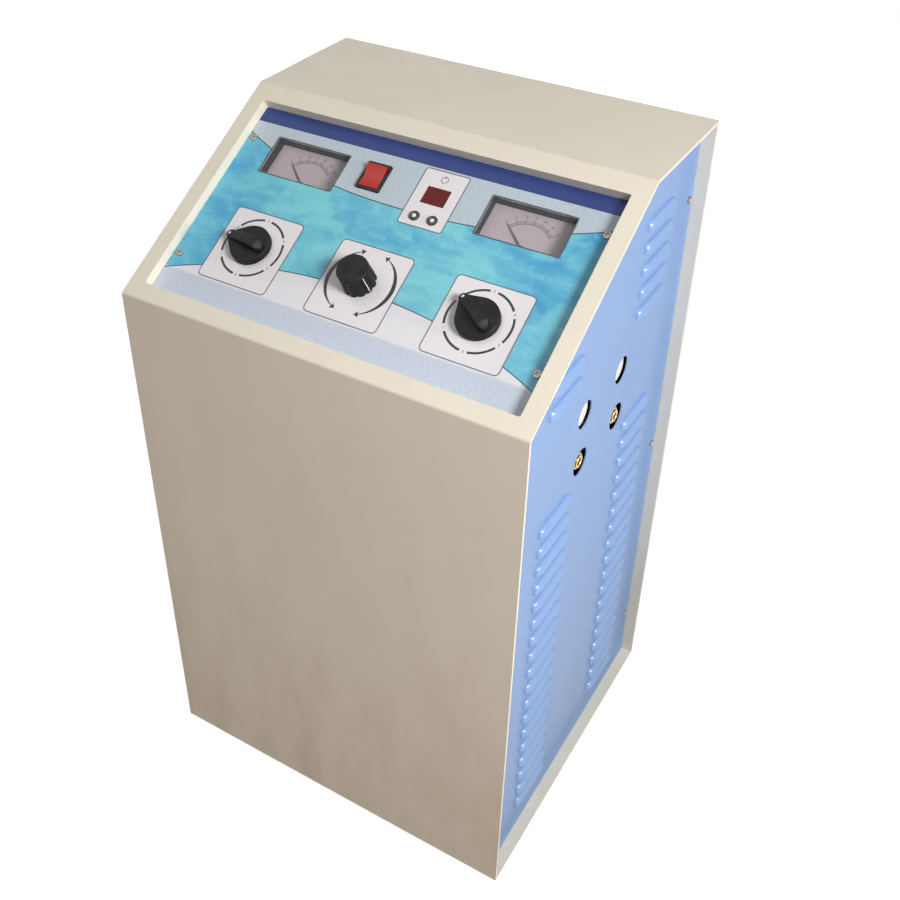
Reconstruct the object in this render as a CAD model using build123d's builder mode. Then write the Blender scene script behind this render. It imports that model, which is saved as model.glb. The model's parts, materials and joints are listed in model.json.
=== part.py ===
from build123d import *
from math import atan2, cos, hypot, radians, sin, tan
import os

os.makedirs("parts", exist_ok=True)

# Shortwave diathermy machine: a sheet steel cabinet on castors with a sloping control panel.
# Millimetres. +X is the operator's right, -Y the front, +Z up. The origin is on the floor
# under the middle of the cabinet.

# Cabinet
width = 430.0
depth = 382.0
front_height = 610.0
cabinet_height = 743.0
slope_setback = 228.0
ground_clearance = 66.0
wrap_sheet = 1.5
bend_radius = 3.5
corner_radius = 0.5
hem_width = 12.0
side_recess = 13.5
rear_recess = 4.0
panel_sheet = 1.2
base_sheet = 2.0
base_flange = 14.0
base_slot_length = 80.0
base_slot_width = 9.0
base_slot_spacing = 110.0
base_slot_pitch = 34.0
base_slot_rows = 4
base_flange_inset = 2.0
seam_gap = 0.5
frame_sheet = 1.5
frame_leg = 20.0

# Recess in the slope and the control panel lying in it
opening_side_margin = 17.0
opening_height = 226.0
opening_corner = 2.0
opening_top_margin = 20.6
panel_recess = 10.6
overlay_sheet = 0.5
control_sheet = 1.5
lip_width = 14.0
panel_gap = 0.4

# Louvres, in two columns on each side panel
louvre_length = 66.0
louvre_rise = 10.0
louvre_proud = 5.0
louvre_end = 6.0
louvre_bulge = 0.66
louvre_pitch = 23.8
louvre_columns = (-92.0, 98.0)
louvre_low_rows = 18
louvre_low_top = 447.0
louvre_high_bottom = 582.0
louvre_high_rows = (2, 5)

# Electrode outlets in the right side
outlet_spacing = 84.0
outlet_low_height = 480.0
outlet_rise = 56.0
outlet_hole_radius = 14.5
outlet_board_thick = 6.0
outlet_board_setback = 24.0
outlet_board_margin = 30.0
socket_setback = 5.0
socket_radius = 8.0
socket_tail_radius = 6.0
socket_bore_radius = 4.0
socket_bore_depth = 25.0
socket_tail = 9.0
socket_flange_radius = 11.5
socket_flange = 3.0
blank_setback = 4.0
blank_gap = 0.8
blank_tail = 5.0

# Screws and bolts
screw_radius = 2.0
screw_clearance = 0.15
screw_head_radius = 4.0
screw_head = 1.8
panel_screw_rows = (74.0, -69.0)
cut_over = 1.0
side_screw_heights = (78.0, 355.0, 662.0)
side_screw_front_heights = (78.0, 355.0, 580.0)
rear_screw_heights = (60.0, 360.0, 690.0)

# Meters behind the control panel
meter_left_inset = 76.0
meter_right_inset = 80.0
meter_row = 61.5
meter_window_width = 84.0
meter_window_height = 42.0
meter_wall = 3.0
meter_case_margin = 5.0
meter_case_depth = 38.0
meter_glass = 2.0
meter_glass_margin = 3.0
meter_dial_depth = 14.0
meter_dial_sheet = 0.8
meter_dial_margin = 1.0
meter_ledge = 3.0
meter_pivot_drop = 16.0
needle_length = 30.0
needle_lift = 1.2
needle_thick = 0.5
needle_root = 1.6
needle_flank_angle = 89.0
needle_tail = 7.0
needle_hub_radius = 2.5
needle_spindle_radius = 0.8
needle_spindle_rise = 1.0
needle_rest_angle = 48.0
movement_radius = 13.0
movement_height = 12.0

# Mains rocker switch
rocker_inset = 153.5
rocker_y = 67.5
rocker_bezel_width = 26.4
rocker_bezel_length = 31.4
rocker_bezel = 2.2
rocker_bezel_corner = 1.5
rocker_bezel_taper = 12.0
rocker_body_width = 23.2
rocker_body_length = 28.2
rocker_wall = 1.1
rocker_body_depth = 21.0
rocker_side_gap = 0.3
rocker_end_gap = 0.35
rocker_tilt = 11.0
rocker_pivot_depth = 2.6
rocker_crown = 5.2
rocker_dip = 2.3
rocker_keel = 5.0
rocker_pin_radius = 1.2
rocker_blade_length = 8.0
rocker_blade_width = 4.8
rocker_blade_sheet = 0.8

# Timer display and its two buttons
display_x = 24.0
display_y = 65.0
display_width = 25.0
display_height = 19.0
display_gap = 0.2
board_width = 48.0
board_height = 66.0
board_y = 61.0
board_sheet = 1.6
board_corner = 1.5
board_spacing = 10.0
board_spacer_radius = 2.5
board_spacer_inset = 4.0
module_height = 7.5
button_centres = (14.3, 33.4)
button_y = 40.1
button_radius = 5.0
button_proud = 1.6
button_gap = 0.3
button_flange = 1.0
button_flange_extra = 1.5
button_edge = 0.7
button_stem_radius = 2.0
button_travel = 1.5
tact_size = 12.0
tact_height = 5.0

# Rotary controls
dial_inset = 76.5
dial_row = -40.1
spindle_radius = 3.0
running_gap = 0.05
bush_radius = 4.8
bush_hole_gap = 0.3
bush_proud = 4.0
nut_flats = 14.0
nut_height = 2.5
knob_lift = 0.8
knob_recess_radius = 10.5
knob_recess = 5.5
knob_cap = 4.0
knob_edge = 1.0
pointer_skirt_radius = 22.0
pointer_skirt_height = 7.5
pointer_skirt_taper = 8.0
pointer_tail_inset = 1.0
pointer_tail_step = 3.0
pointer_flat_end = 7.3
pointer_height = 16.5
pointer_bar_radius = 6.5
pointer_nose = 32.0
pointer_nose_radius = 2.4
pointer_nose_height = 7.0
selector_angle = 171.0
intensity_angle = 147.0
tuner_knob_radius = 18.0
tuner_knob_height = 26.0
tuner_knob_taper = 3.0
flute_count = 16
flute_radius = 1.7
tuner_angle = -22.0
wafer_radius = 18.0
wafer_sheet = 1.6
wafer_spacing = 11.0
wafer_count = 2
switch_base = 6.0
wafer_rod_radius = 1.5

# Tuning capacitor on the middle spindle
tuner_standoff = 14.0
tuner_pillar_radius = 3.0
tuner_plate_size = 72.0
tuner_plate_sheet = 2.0
vane_count = 5
vane_sheet = 1.0
vane_pitch = 8.0
rotor_radius = 25.0
rotor_hub_radius = 6.0
stator_radius = 31.0
stator_bore = 8.0
stator_rod_radius = 1.3
stator_rod_circle = 28.5
stator_rod_count = 3
stator_rod_start = -150.0
stator_rod_span = 120.0

# Shelf and the oscillator on it
shelf_height = 395.0
shelf_sheet = 1.5
shelf_flange = 18.0
shelf_gap = 0.5
shelf_slot_length = 90.0
shelf_slot_width = 8.0
shelf_slot_spacing = 120.0
shelf_slot_pitch = 60.0
shelf_slot_rows = 5
tab_width = 20.0
tab_height = 24.0
valve_x = -75.0
valve_y = 35.0
valve_base_radius = 28.0
valve_base_height = 16.0
valve_base_taper = 6.0
valve_radius = 33.0
valve_height = 150.0
valve_crown = 14.0
valve_tip_radius = 14.0
valve_pin_inset = 6.0
coil_x = 55.0
coil_y = 80.0
coil_former_radius = 32.0
coil_former_height = 110.0
coil_cheek = 5.0
coil_cheek_radius = 42.0
coil_winding = 6.0

# Power supply on the base
core_width = 120.0
core_height = 100.0
core_depth = 56.0
core_limb = 20.0
winding_overhang = 16.0
winding_gap = 0.5
small_core_width = 74.0
small_core_height = 62.0
small_core_depth = 35.0
small_core_limb = 12.0
small_winding_overhang = 10.0
transformer_x = -85.0
component_gap = 6.0
small_transformer_x = 80.0
capacitor_radius = 25.0
capacitor_height = 95.0
capacitor_x = 110.0
capacitor_spacing = 60.0
capacitor_stud_radius = 5.0
capacitor_stud = 8.0

# Fan and mains inlet on the rear panel
fan_height = 250.0
fan_size = 120.0
fan_depth = 25.0
fan_bore_radius = 57.0
fan_hub_radius = 20.0
fan_hub_base = 4.0
fan_strut = 6.0
fan_blades = 7
fan_blade_pitch = 35.0
fan_blade_sheet = 1.5
fan_blade_chord = 24.0
fan_blade_root = 16.0
fan_tip_gap = 2.0
fan_face_gap = 0.6
fan_pin_radius = 2.0
fan_pin_length = 20.0
fan_corner = 6.0
grille_bars = 9
grille_slot = 7.0
grille_radius = 52.0
inlet_inset = 95.0
inlet_height = 110.0
inlet_width = 27.0
inlet_tall = 20.0
inlet_flange_width = 48.0
inlet_flange_tall = 26.0
inlet_flange = 3.0
inlet_depth = 22.0
inlet_wall = 2.0
inlet_corner = 2.0
inlet_bore_corner = 1.0
inlet_flange_corner = 3.0
inlet_pin = 12.0
inlet_pin_width = 2.0
inlet_pin_tall = 4.0
inlet_live_drop = 1.5
inlet_earth_rise = 2.5
fuse_spacing = 45.0
fuse_radius = 6.5
fuse_cap_radius = 8.5
fuse_cap = 3.0
fuse_depth = 30.0
inlet_plate_width = 96.0
inlet_plate_tall = 124.0
inlet_plate_lap = 10.0
inlet_plate_corner = 3.0

# Castors
castor_inset_x = 60.0
castor_inset_y = 55.0
castor_plate = 50.0
castor_plate_sheet = 2.5
castor_plate_corner = 4.0
castor_bolt_spacing = 34.0
castor_bolt_radius = 3.0
castor_head_flats = 10.0
castor_head = 3.5
race_radius = 16.0
race_height = 7.0
race_taper = 8.0
swivel_gap = 0.3
crown_sheet = 2.5
kingpin_radius = 4.0
kingpin_head_radius = 7.0
kingpin_head = 2.0
wheel_radius = 25.0
wheel_width = 20.0
wheel_hub_radius = 8.0
wheel_web = 7.0
wheel_rim_radius = 18.0
wheel_edge = 2.5
fork_gap = 1.2
fork_sheet = 2.0
fork_boss_radius = 7.0
fork_top_width = 18.0
axle_radius = 3.0
axle_head_radius = 5.0
axle_head = 1.5
castor_trail = 16.0

# Places worked out from the sizes above
front_y = -depth / 2
rear_y = depth / 2
base_z = ground_clearance
knee_z = base_z + front_height
top_z = base_z + cabinet_height
slope = atan2(cabinet_height - front_height, slope_setback)
slope_length = hypot(cabinet_height - front_height, slope_setback)
side_face = width / 2 - side_recess
frame_face = side_face - panel_sheet
rear_face = rear_y - rear_recess
rear_inner = rear_face - panel_sheet
floor_top = base_z + base_sheet
panel_depth = panel_recess + overlay_sheet
lip_depth = panel_depth + control_sheet
shelf_z = base_z + shelf_height
opening_width = width - 2 * opening_side_margin
meter_centres = (meter_left_inset - opening_width / 2, opening_width / 2 - meter_right_inset)
rocker_x = rocker_inset - opening_width / 2
dial_across = opening_width / 2 - dial_inset
dial_centres = (-dial_across, 0, dial_across)
castor_bolt_edge = rear_y - castor_inset_y - castor_bolt_spacing / 2 - castor_head_flats
capacitor_y = castor_bolt_edge - capacitor_radius - capacitor_spacing / 2
capacitor_front = capacitor_y - capacitor_spacing / 2 - capacitor_radius
transformer_rear = capacitor_front - component_gap
transformer_y = transformer_rear - small_winding_overhang - small_core_depth / 2
up_slope = slope_length - opening_top_margin - opening_height / 2
slope_plane = Plane(
    origin=(0, front_y + up_slope * cos(slope), knee_z + up_slope * sin(slope)),
    x_dir=(1, 0, 0),
    z_dir=(0, -sin(slope), cos(slope)),
)
slope_axis = Axis(slope_plane.origin, slope_plane.z_dir)
side_plane = Plane.YZ.offset(side_face)
rear_plane = Plane(origin=(0, rear_face, 0), x_dir=(-1, 0, 0), z_dir=(0, 1, 0))
inlet_plane = rear_plane.offset(-panel_sheet)
inlet_x = width / 2 - inlet_inset
inlet_z = base_z + inlet_height
inlet_plate_z = inlet_z + fuse_spacing / 2


def panel_level(below):
    """Plane parallel to the slope, set below its outer surface."""
    return slope_plane.offset(-below)


def dial_plane(across, turn, below):
    """Plane on the slope with its x axis turned about a control's own axis."""
    heading = slope_plane.x_dir * cos(radians(turn)) + slope_plane.y_dir * sin(radians(turn))
    centre = slope_plane.from_local_coords((across, dial_row, -below))
    return Plane(origin=centre, x_dir=heading, z_dir=slope_plane.z_dir)


def side_face_outline(inset, slope_inset, rear_edge, floor_edge, mode=Mode.ADD):
    """Adds the cabinet's side outline, set in from its front, top and slope, to a sketch."""
    drop = slope_inset / cos(slope)
    front = front_y + inset
    top = top_z - inset
    knee = knee_z + inset * tan(slope) - drop
    crest = front_y + (top - knee_z + drop) / tan(slope)
    with BuildSketch(mode=Mode.PRIVATE) as outline:
        with BuildLine():
            Polyline(
                (front, floor_edge),
                (front, knee),
                (crest, top),
                (rear_edge, top),
                (rear_edge, floor_edge),
                close=True,
            )
        make_face()
        knee_corner = outline.vertices().group_by(Axis.X)[0].sort_by(Axis.Y)[-1]
        crest_corner = outline.vertices().group_by(Axis.Y)[-1].sort_by(Axis.X)[0]
        fillet([knee_corner, crest_corner], max(bend_radius - inset, corner_radius))
    add(outline.sketch_local, mode=mode)


def side_screw_points():
    """Screws of one side panel, as (y, z) places near its rear and front edges."""
    edge = frame_leg / 2
    rear = [(rear_inner - edge, base_z + height) for height in side_screw_heights]
    front = [(front_y + wrap_sheet + edge, base_z + height) for height in side_screw_front_heights]
    return rear + front


def rear_screw_points():
    """Screws of the rear panel, in that panel's own plane."""
    across = frame_face - frame_leg / 2
    return [(side * across, base_z + height) for side in (-1, 1) for height in rear_screw_heights]


def inlet_plate_screw_points():
    """Screws of the inlet plate, midway in its lap, in the rear panel's plane."""
    across = (inlet_plate_width - inlet_plate_lap) / 2
    along = (inlet_plate_tall - inlet_plate_lap) / 2
    return [
        (side * across - inlet_x, end * along + inlet_plate_z) for side in (-1, 1) for end in (-1, 1)
    ]


def castor_centres():
    """Names and swivel axes of the four castors."""
    across = width / 2 - castor_inset_x
    along = depth / 2 - castor_inset_y
    return {
        "front_left": (-across, -along),
        "front_right": (across, -along),
        "rear_left": (-across, along),
        "rear_right": (across, along),
    }


panel_screws_at = [
    (side * (opening_width - lip_width) / 2, row) for side in (-1, 1) for row in panel_screw_rows
]

# Cabinet wrap: one sheet folded over the front, slope and top, hemmed at both sides,
# with a walled recess and a lip for the control panel
with BuildPart() as cabinet_wrap:
    with BuildSketch(Plane.YZ):
        side_face_outline(0, 0, rear_y, base_z)
        side_face_outline(
            wrap_sheet, wrap_sheet, rear_y + cut_over, base_z - cut_over, Mode.SUBTRACT
        )
    extrude(amount=width / 2, both=True)
    with BuildSketch(Plane.YZ.offset(width / 2 - hem_width)):
        side_face_outline(wrap_sheet, wrap_sheet, rear_y, base_z + base_sheet)
        side_face_outline(
            2 * wrap_sheet,
            2 * wrap_sheet,
            rear_y + cut_over,
            base_z - cut_over,
            Mode.SUBTRACT,
        )
    extrude(amount=hem_width)
    mirror(about=Plane.YZ)
    with BuildSketch(slope_plane):
        RectangleRounded(opening_width, opening_height, opening_corner)
    extrude(amount=-2 * wrap_sheet, mode=Mode.SUBTRACT)
    with BuildSketch(panel_level(lip_depth + wrap_sheet)):
        RectangleRounded(
            opening_width + 2 * wrap_sheet,
            opening_height + 2 * wrap_sheet,
            opening_corner + wrap_sheet,
        )
        RectangleRounded(opening_width, opening_height, opening_corner, mode=Mode.SUBTRACT)
    extrude(amount=lip_depth + wrap_sheet)
    with BuildSketch(panel_level(lip_depth + wrap_sheet)):
        RectangleRounded(
            opening_width + 2 * wrap_sheet,
            opening_height + 2 * wrap_sheet,
            opening_corner + wrap_sheet,
        )
        RectangleRounded(
            opening_width - 2 * lip_width,
            opening_height - 2 * lip_width,
            opening_corner,
            mode=Mode.SUBTRACT,
        )
        with Locations(*panel_screws_at):
            Circle(screw_radius + screw_clearance, mode=Mode.SUBTRACT)
    extrude(amount=wrap_sheet)
cabinet_wrap.part.label = "cabinet_wrap"
export_step(cabinet_wrap.part, "parts/cabinet_wrap.step")

# Base: full-size sheet with flanges turned up behind the front and rear, drilled for castors
with BuildPart() as base_pan:
    with BuildSketch(Plane.XY.offset(base_z)):
        with Locations((0, wrap_sheet / 2)):
            Rectangle(width, depth - wrap_sheet)
        for centre in castor_centres().values():
            with Locations(centre):
                with GridLocations(castor_bolt_spacing, castor_bolt_spacing, 2, 2):
                    Circle(castor_bolt_radius + screw_clearance, mode=Mode.SUBTRACT)
        with GridLocations(base_slot_spacing, base_slot_pitch, 2, base_slot_rows):
            SlotOverall(base_slot_length, base_slot_width, mode=Mode.SUBTRACT)
    extrude(amount=base_sheet)
    with BuildSketch(Plane.XY.offset(floor_top)):
        for edge in (front_y + wrap_sheet + base_sheet / 2, rear_inner - base_sheet / 2):
            with Locations((0, edge)):
                Rectangle(2 * (frame_face - frame_leg - base_flange_inset), base_sheet)
    extrude(amount=base_flange)
base_pan.part.label = "base_pan"
export_step(base_pan.part, "parts/base_pan.step")

# Side frames: an angle ring welded inside the wrap, with a rail for the shelf
with BuildPart() as side_frame_right:
    ring_inset = lip_depth + wrap_sheet
    with BuildSketch(Plane.YZ.offset(frame_face - frame_sheet)):
        side_face_outline(wrap_sheet, ring_inset, rear_inner, floor_top)
        side_face_outline(
            wrap_sheet + frame_leg,
            ring_inset + frame_leg,
            rear_inner - frame_leg,
            floor_top + frame_leg,
            Mode.SUBTRACT,
        )
        with Locations(*side_screw_points()):
            Circle(screw_radius + screw_clearance, mode=Mode.SUBTRACT)
    extrude(amount=frame_sheet)
    with BuildSketch(Plane.YZ.offset(frame_face - frame_leg)):
        side_face_outline(wrap_sheet, ring_inset, rear_inner, floor_top)
        side_face_outline(
            wrap_sheet + frame_sheet,
            ring_inset + frame_sheet,
            rear_inner - frame_sheet,
            floor_top + frame_sheet,
            Mode.SUBTRACT,
        )
    extrude(amount=frame_leg)
    rail_front = front_y + wrap_sheet + frame_sheet
    rail_rear = rear_inner - frame_sheet
    with BuildSketch(Plane.XZ.offset(-rail_rear)):
        with Locations((frame_face - frame_sheet, shelf_z)):
            Rectangle(frame_leg, frame_sheet, align=(Align.MAX, Align.MAX))
            Rectangle(frame_sheet, frame_leg, align=(Align.MAX, Align.MAX))
    extrude(amount=rail_rear - rail_front)
    with BuildSketch(Plane.XZ.offset(-rear_inner)):
        with Locations(*[(x, z) for x, z in rear_screw_points() if x > 0]):
            Circle(screw_radius + screw_clearance)
    extrude(amount=frame_sheet, mode=Mode.SUBTRACT)
    with BuildSketch(panel_level(ring_inset + frame_sheet)):
        with Locations(*panel_screws_at):
            Circle(screw_radius + screw_clearance)
    extrude(amount=frame_sheet, mode=Mode.SUBTRACT)
side_frame_right.part.label = "side_frame_right"
export_step(side_frame_right.part, "parts/side_frame_right.step")

with BuildPart() as side_frame_left:
    add(mirror(side_frame_right.part, about=Plane.YZ))
side_frame_left.part.label = "side_frame_left"
export_step(side_frame_left.part, "parts/side_frame_left.step")


# One pressed louvre, with its mouth facing down and its root on the plane x = 0
def louvre_body(wall, reach):
    """Hood of one louvre, drawn in by a wall all round and reaching back through the sheet."""
    with BuildPart() as hood:
        with BuildSketch(Plane.XZ):
            with BuildLine():
                ThreePointArc(
                    (0, louvre_rise - wall),
                    (louvre_bulge * (louvre_proud - wall), louvre_bulge * (louvre_rise - wall)),
                    (louvre_proud - wall, 0),
                )
                Polyline(
                    (louvre_proud - wall, 0),
                    (-reach, 0),
                    (-reach, louvre_rise - wall),
                    (0, louvre_rise - wall),
                )
            make_face()
        extrude(amount=louvre_length / 2, both=True)
        with BuildSketch(Plane.XY.offset(-louvre_proud)):
            half = louvre_length / 2 - wall
            with BuildLine():
                Polyline(
                    (-reach, -half),
                    (0, -half),
                    (louvre_proud - wall, louvre_end - half),
                    (louvre_proud - wall, half - louvre_end),
                    (0, half),
                    (-reach, half),
                    close=True,
                )
            make_face()
        extrude(amount=2 * louvre_rise + louvre_proud, mode=Mode.INTERSECT)
    return hood.part


louvre_outer = louvre_body(0, panel_sheet)
louvre_inner = louvre_body(panel_sheet, 2 * panel_sheet)
louvre_places = []
for column, high_rows in zip(louvre_columns, louvre_high_rows):
    rows = [louvre_low_top - louvre_pitch * row for row in range(louvre_low_rows)]
    rows += [louvre_high_bottom + louvre_pitch * row for row in range(high_rows)]
    louvre_places += [(side_face, column, base_z + row) for row in rows]

# Side panels: flat sheets screwed to the frames, louvred, the right one pierced for outlets
with BuildPart() as louvred_sheet:
    edge = wrap_sheet + seam_gap
    with BuildSketch(Plane.YZ.offset(frame_face)):
        side_face_outline(edge, edge, rear_inner - seam_gap, floor_top + seam_gap)
        with Locations(*side_screw_points()):
            Circle(screw_radius + screw_clearance, mode=Mode.SUBTRACT)
    extrude(amount=panel_sheet)
    with Locations(*louvre_places):
        add(louvre_outer)
    with Locations(*louvre_places):
        add(louvre_inner, mode=Mode.SUBTRACT)

with BuildPart() as side_panel_left:
    add(mirror(louvred_sheet.part, about=Plane.YZ))
side_panel_left.part.label = "side_panel_left"
export_step(side_panel_left.part, "parts/side_panel_left.step")

outlet_low_z = base_z + outlet_low_height
outlet_high_z = outlet_low_z + outlet_rise
outlet_mid_z = (outlet_low_z + outlet_high_z) / 2
with BuildPart() as side_panel_right:
    add(louvred_sheet.part)
    with BuildSketch(side_plane):
        with Locations((0, outlet_mid_z)):
            with GridLocations(outlet_spacing, outlet_rise, 2, 2):
                Circle(outlet_hole_radius)
    extrude(amount=-panel_sheet, mode=Mode.SUBTRACT)
side_panel_right.part.label = "side_panel_right"
export_step(side_panel_right.part, "parts/side_panel_right.step")

# Rear panel: a shallow pan with a fan grille and a cut-out in front of the inlet plate
with BuildPart() as rear_panel:
    rear_top = top_z - 2 * wrap_sheet - seam_gap
    rear_tall = rear_top - floor_top
    rear_mid = floor_top + rear_tall / 2
    with BuildSketch(rear_plane.offset(-panel_sheet)):
        with Locations((0, rear_mid)):
            Rectangle(width, rear_tall)
    extrude(amount=rear_recess + panel_sheet)
    with BuildSketch(rear_plane):
        with Locations((0, rear_mid)):
            Rectangle(width - 2 * panel_sheet, rear_tall - 2 * panel_sheet)
    extrude(amount=rear_recess, mode=Mode.SUBTRACT)
    with BuildSketch(rear_plane):
        for bar in range(grille_bars):
            rise = (bar - (grille_bars - 1) / 2) * 2 * grille_radius / grille_bars
            half = (grille_radius**2 - rise**2) ** 0.5
            with Locations((0, base_z + fan_height + rise)):
                SlotOverall(2 * half, grille_slot)
        with Locations(*rear_screw_points(), *inlet_plate_screw_points()):
            Circle(screw_radius + screw_clearance)
        with Locations((-inlet_x, inlet_plate_z)):
            RectangleRounded(
                inlet_plate_width - 2 * inlet_plate_lap,
                inlet_plate_tall - 2 * inlet_plate_lap,
                inlet_plate_corner,
            )
    extrude(amount=-panel_sheet, mode=Mode.SUBTRACT)
rear_panel.part.label = "rear_panel"
export_step(rear_panel.part, "parts/rear_panel.step")

# Inlet plate behind the cut-out, with holes for the mains inlet and fuse
with BuildPart() as inlet_plate:
    with BuildSketch(inlet_plane):
        with Locations((-inlet_x, inlet_plate_z)):
            RectangleRounded(inlet_plate_width, inlet_plate_tall, inlet_plate_corner)
        with Locations(*inlet_plate_screw_points()):
            Circle(screw_radius + screw_clearance, mode=Mode.SUBTRACT)
        with Locations((-inlet_x, inlet_z)):
            RectangleRounded(
                inlet_width + 2 * panel_gap,
                inlet_tall + 2 * panel_gap,
                inlet_corner,
                mode=Mode.SUBTRACT,
            )
        with Locations((-inlet_x, inlet_z + fuse_spacing)):
            Circle(fuse_radius + panel_gap, mode=Mode.SUBTRACT)
    extrude(amount=-panel_sheet)
inlet_plate.part.label = "inlet_plate"
export_step(inlet_plate.part, "parts/inlet_plate.step")

# Pan-head screws of the side panels, rear panel, inlet plate and control panel
with BuildPart() as cabinet_screws:
    with BuildSketch(side_plane):
        with Locations(*side_screw_points()):
            Circle(screw_head_radius)
    extrude(amount=screw_head)
    with BuildSketch(Plane.YZ.offset(frame_face - 2 * frame_sheet)):
        with Locations(*side_screw_points()):
            Circle(screw_radius)
    extrude(amount=side_face - frame_face + 2 * frame_sheet)
    mirror(about=Plane.YZ)
    with BuildSketch(rear_plane):
        with Locations(*rear_screw_points(), *inlet_plate_screw_points()):
            Circle(screw_head_radius)
    extrude(amount=screw_head)
    with BuildSketch(rear_plane):
        with Locations(*rear_screw_points(), *inlet_plate_screw_points()):
            Circle(screw_radius)
    extrude(amount=-panel_sheet - 2 * frame_sheet)
    with BuildSketch(panel_level(panel_recess)):
        with Locations(*panel_screws_at):
            Circle(screw_head_radius)
    extrude(amount=screw_head)
    with BuildSketch(panel_level(lip_depth + 2 * wrap_sheet)):
        with Locations(*panel_screws_at):
            Circle(screw_radius)
    extrude(amount=lip_depth + 2 * wrap_sheet - panel_recess)
cabinet_screws.part.label = "cabinet_screws"
export_step(cabinet_screws.part, "parts/cabinet_screws.step")


def panel_cutouts():
    """Cuts the control panel's windows and holes from the sketch being drawn."""
    for centre in meter_centres:
        with Locations((centre, meter_row)):
            Rectangle(meter_window_width, meter_window_height, mode=Mode.SUBTRACT)
    with Locations((rocker_x, rocker_y)):
        Rectangle(
            rocker_body_width + 2 * panel_gap,
            rocker_body_length + 2 * panel_gap,
            mode=Mode.SUBTRACT,
        )
    with Locations((display_x, display_y)):
        Rectangle(display_width, display_height, mode=Mode.SUBTRACT)
    with Locations(*[(across, button_y) for across in button_centres]):
        Circle(button_radius + button_gap, mode=Mode.SUBTRACT)
    with Locations(*[(across, dial_row) for across in dial_centres]):
        Circle(bush_radius + bush_hole_gap, mode=Mode.SUBTRACT)
    with Locations(*panel_screws_at):
        Circle(screw_radius + screw_clearance, mode=Mode.SUBTRACT)


# Control panel: a steel plate on the recess's lip, under a printed overlay of the same outline
with BuildPart() as control_panel:
    with BuildSketch(panel_level(lip_depth)):
        RectangleRounded(
            opening_width - 2 * panel_gap, opening_height - 2 * panel_gap, opening_corner
        )
        panel_cutouts()
    extrude(amount=control_sheet)
control_panel.part.label = "control_panel"
export_step(control_panel.part, "parts/control_panel.step")

with BuildPart() as panel_overlay:
    with BuildSketch(panel_level(panel_depth)):
        RectangleRounded(
            opening_width - 2 * panel_gap, opening_height - 2 * panel_gap, opening_corner
        )
        panel_cutouts()
    extrude(amount=overlay_sheet)
panel_overlay.part.label = "panel_overlay"
export_step(panel_overlay.part, "parts/panel_overlay.step")

# Meters: moulded cases with a ledge for the dial and a rebate for the glass
meter_case_width = meter_window_width + 2 * meter_case_margin
meter_case_height = meter_window_height + 2 * meter_case_margin
meter_bore_width = meter_case_width - 2 * meter_wall
meter_bore_height = meter_case_height - 2 * meter_wall
meter_glass_width = meter_window_width + 2 * meter_glass_margin
meter_glass_height = meter_window_height + 2 * meter_glass_margin
dial_face = panel_recess + meter_dial_depth
dial_back = dial_face + meter_dial_sheet
case_floor = lip_depth + meter_case_depth - meter_wall
with BuildPart() as meter_cases:
    for centre in meter_centres:
        with BuildSketch(panel_level(lip_depth)):
            with Locations((centre, meter_row)):
                RectangleRounded(meter_case_width, meter_case_height, meter_wall)
        extrude(amount=-meter_case_depth)
        with BuildSketch(panel_level(lip_depth)):
            with Locations((centre, meter_row)):
                Rectangle(meter_bore_width, meter_bore_height)
        extrude(amount=lip_depth - dial_back, mode=Mode.SUBTRACT)
        with BuildSketch(panel_level(dial_back)):
            with Locations((centre, meter_row)):
                Rectangle(meter_bore_width - 2 * meter_ledge, meter_bore_height - 2 * meter_ledge)
        extrude(amount=dial_back - case_floor, mode=Mode.SUBTRACT)
        with BuildSketch(panel_level(lip_depth)):
            with Locations((centre, meter_row)):
                Rectangle(meter_glass_width + panel_gap, meter_glass_height + panel_gap)
        extrude(amount=-meter_glass, mode=Mode.SUBTRACT)
meter_cases.part.label = "meter_cases"
export_step(meter_cases.part, "parts/meter_cases.step")

with BuildPart() as meter_windows:
    with BuildSketch(panel_level(lip_depth + meter_glass)):
        for centre in meter_centres:
            with Locations((centre, meter_row)):
                Rectangle(meter_glass_width, meter_glass_height)
    extrude(amount=meter_glass)
meter_windows.part.label = "meter_windows"
export_step(meter_windows.part, "parts/meter_windows.step")

pivot_row = meter_row - meter_pivot_drop
with BuildPart() as meter_dials:
    with BuildSketch(panel_level(dial_back)):
        for centre in meter_centres:
            with Locations((centre, meter_row)):
                Rectangle(
                    meter_bore_width - meter_dial_margin, meter_bore_height - meter_dial_margin
                )
            with Locations((centre, pivot_row)):
                Circle(2 * needle_spindle_radius, mode=Mode.SUBTRACT)
    extrude(amount=meter_dial_sheet)
meter_dials.part.label = "meter_dials"
export_step(meter_dials.part, "parts/meter_dials.step")

with BuildPart() as meter_movements:
    with BuildSketch(panel_level(case_floor)):
        for centre in meter_centres:
            with Locations((centre, meter_row)):
                Circle(movement_radius)
                Rectangle(2 * needle_hub_radius, meter_pivot_drop, align=(Align.CENTER, Align.MAX))
            with Locations((centre, pivot_row)):
                Circle(needle_hub_radius)
                Circle(needle_spindle_radius + running_gap, mode=Mode.SUBTRACT)
    extrude(amount=movement_height)
meter_movements.part.label = "meter_movements"
export_step(meter_movements.part, "parts/meter_movements.step")

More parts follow.
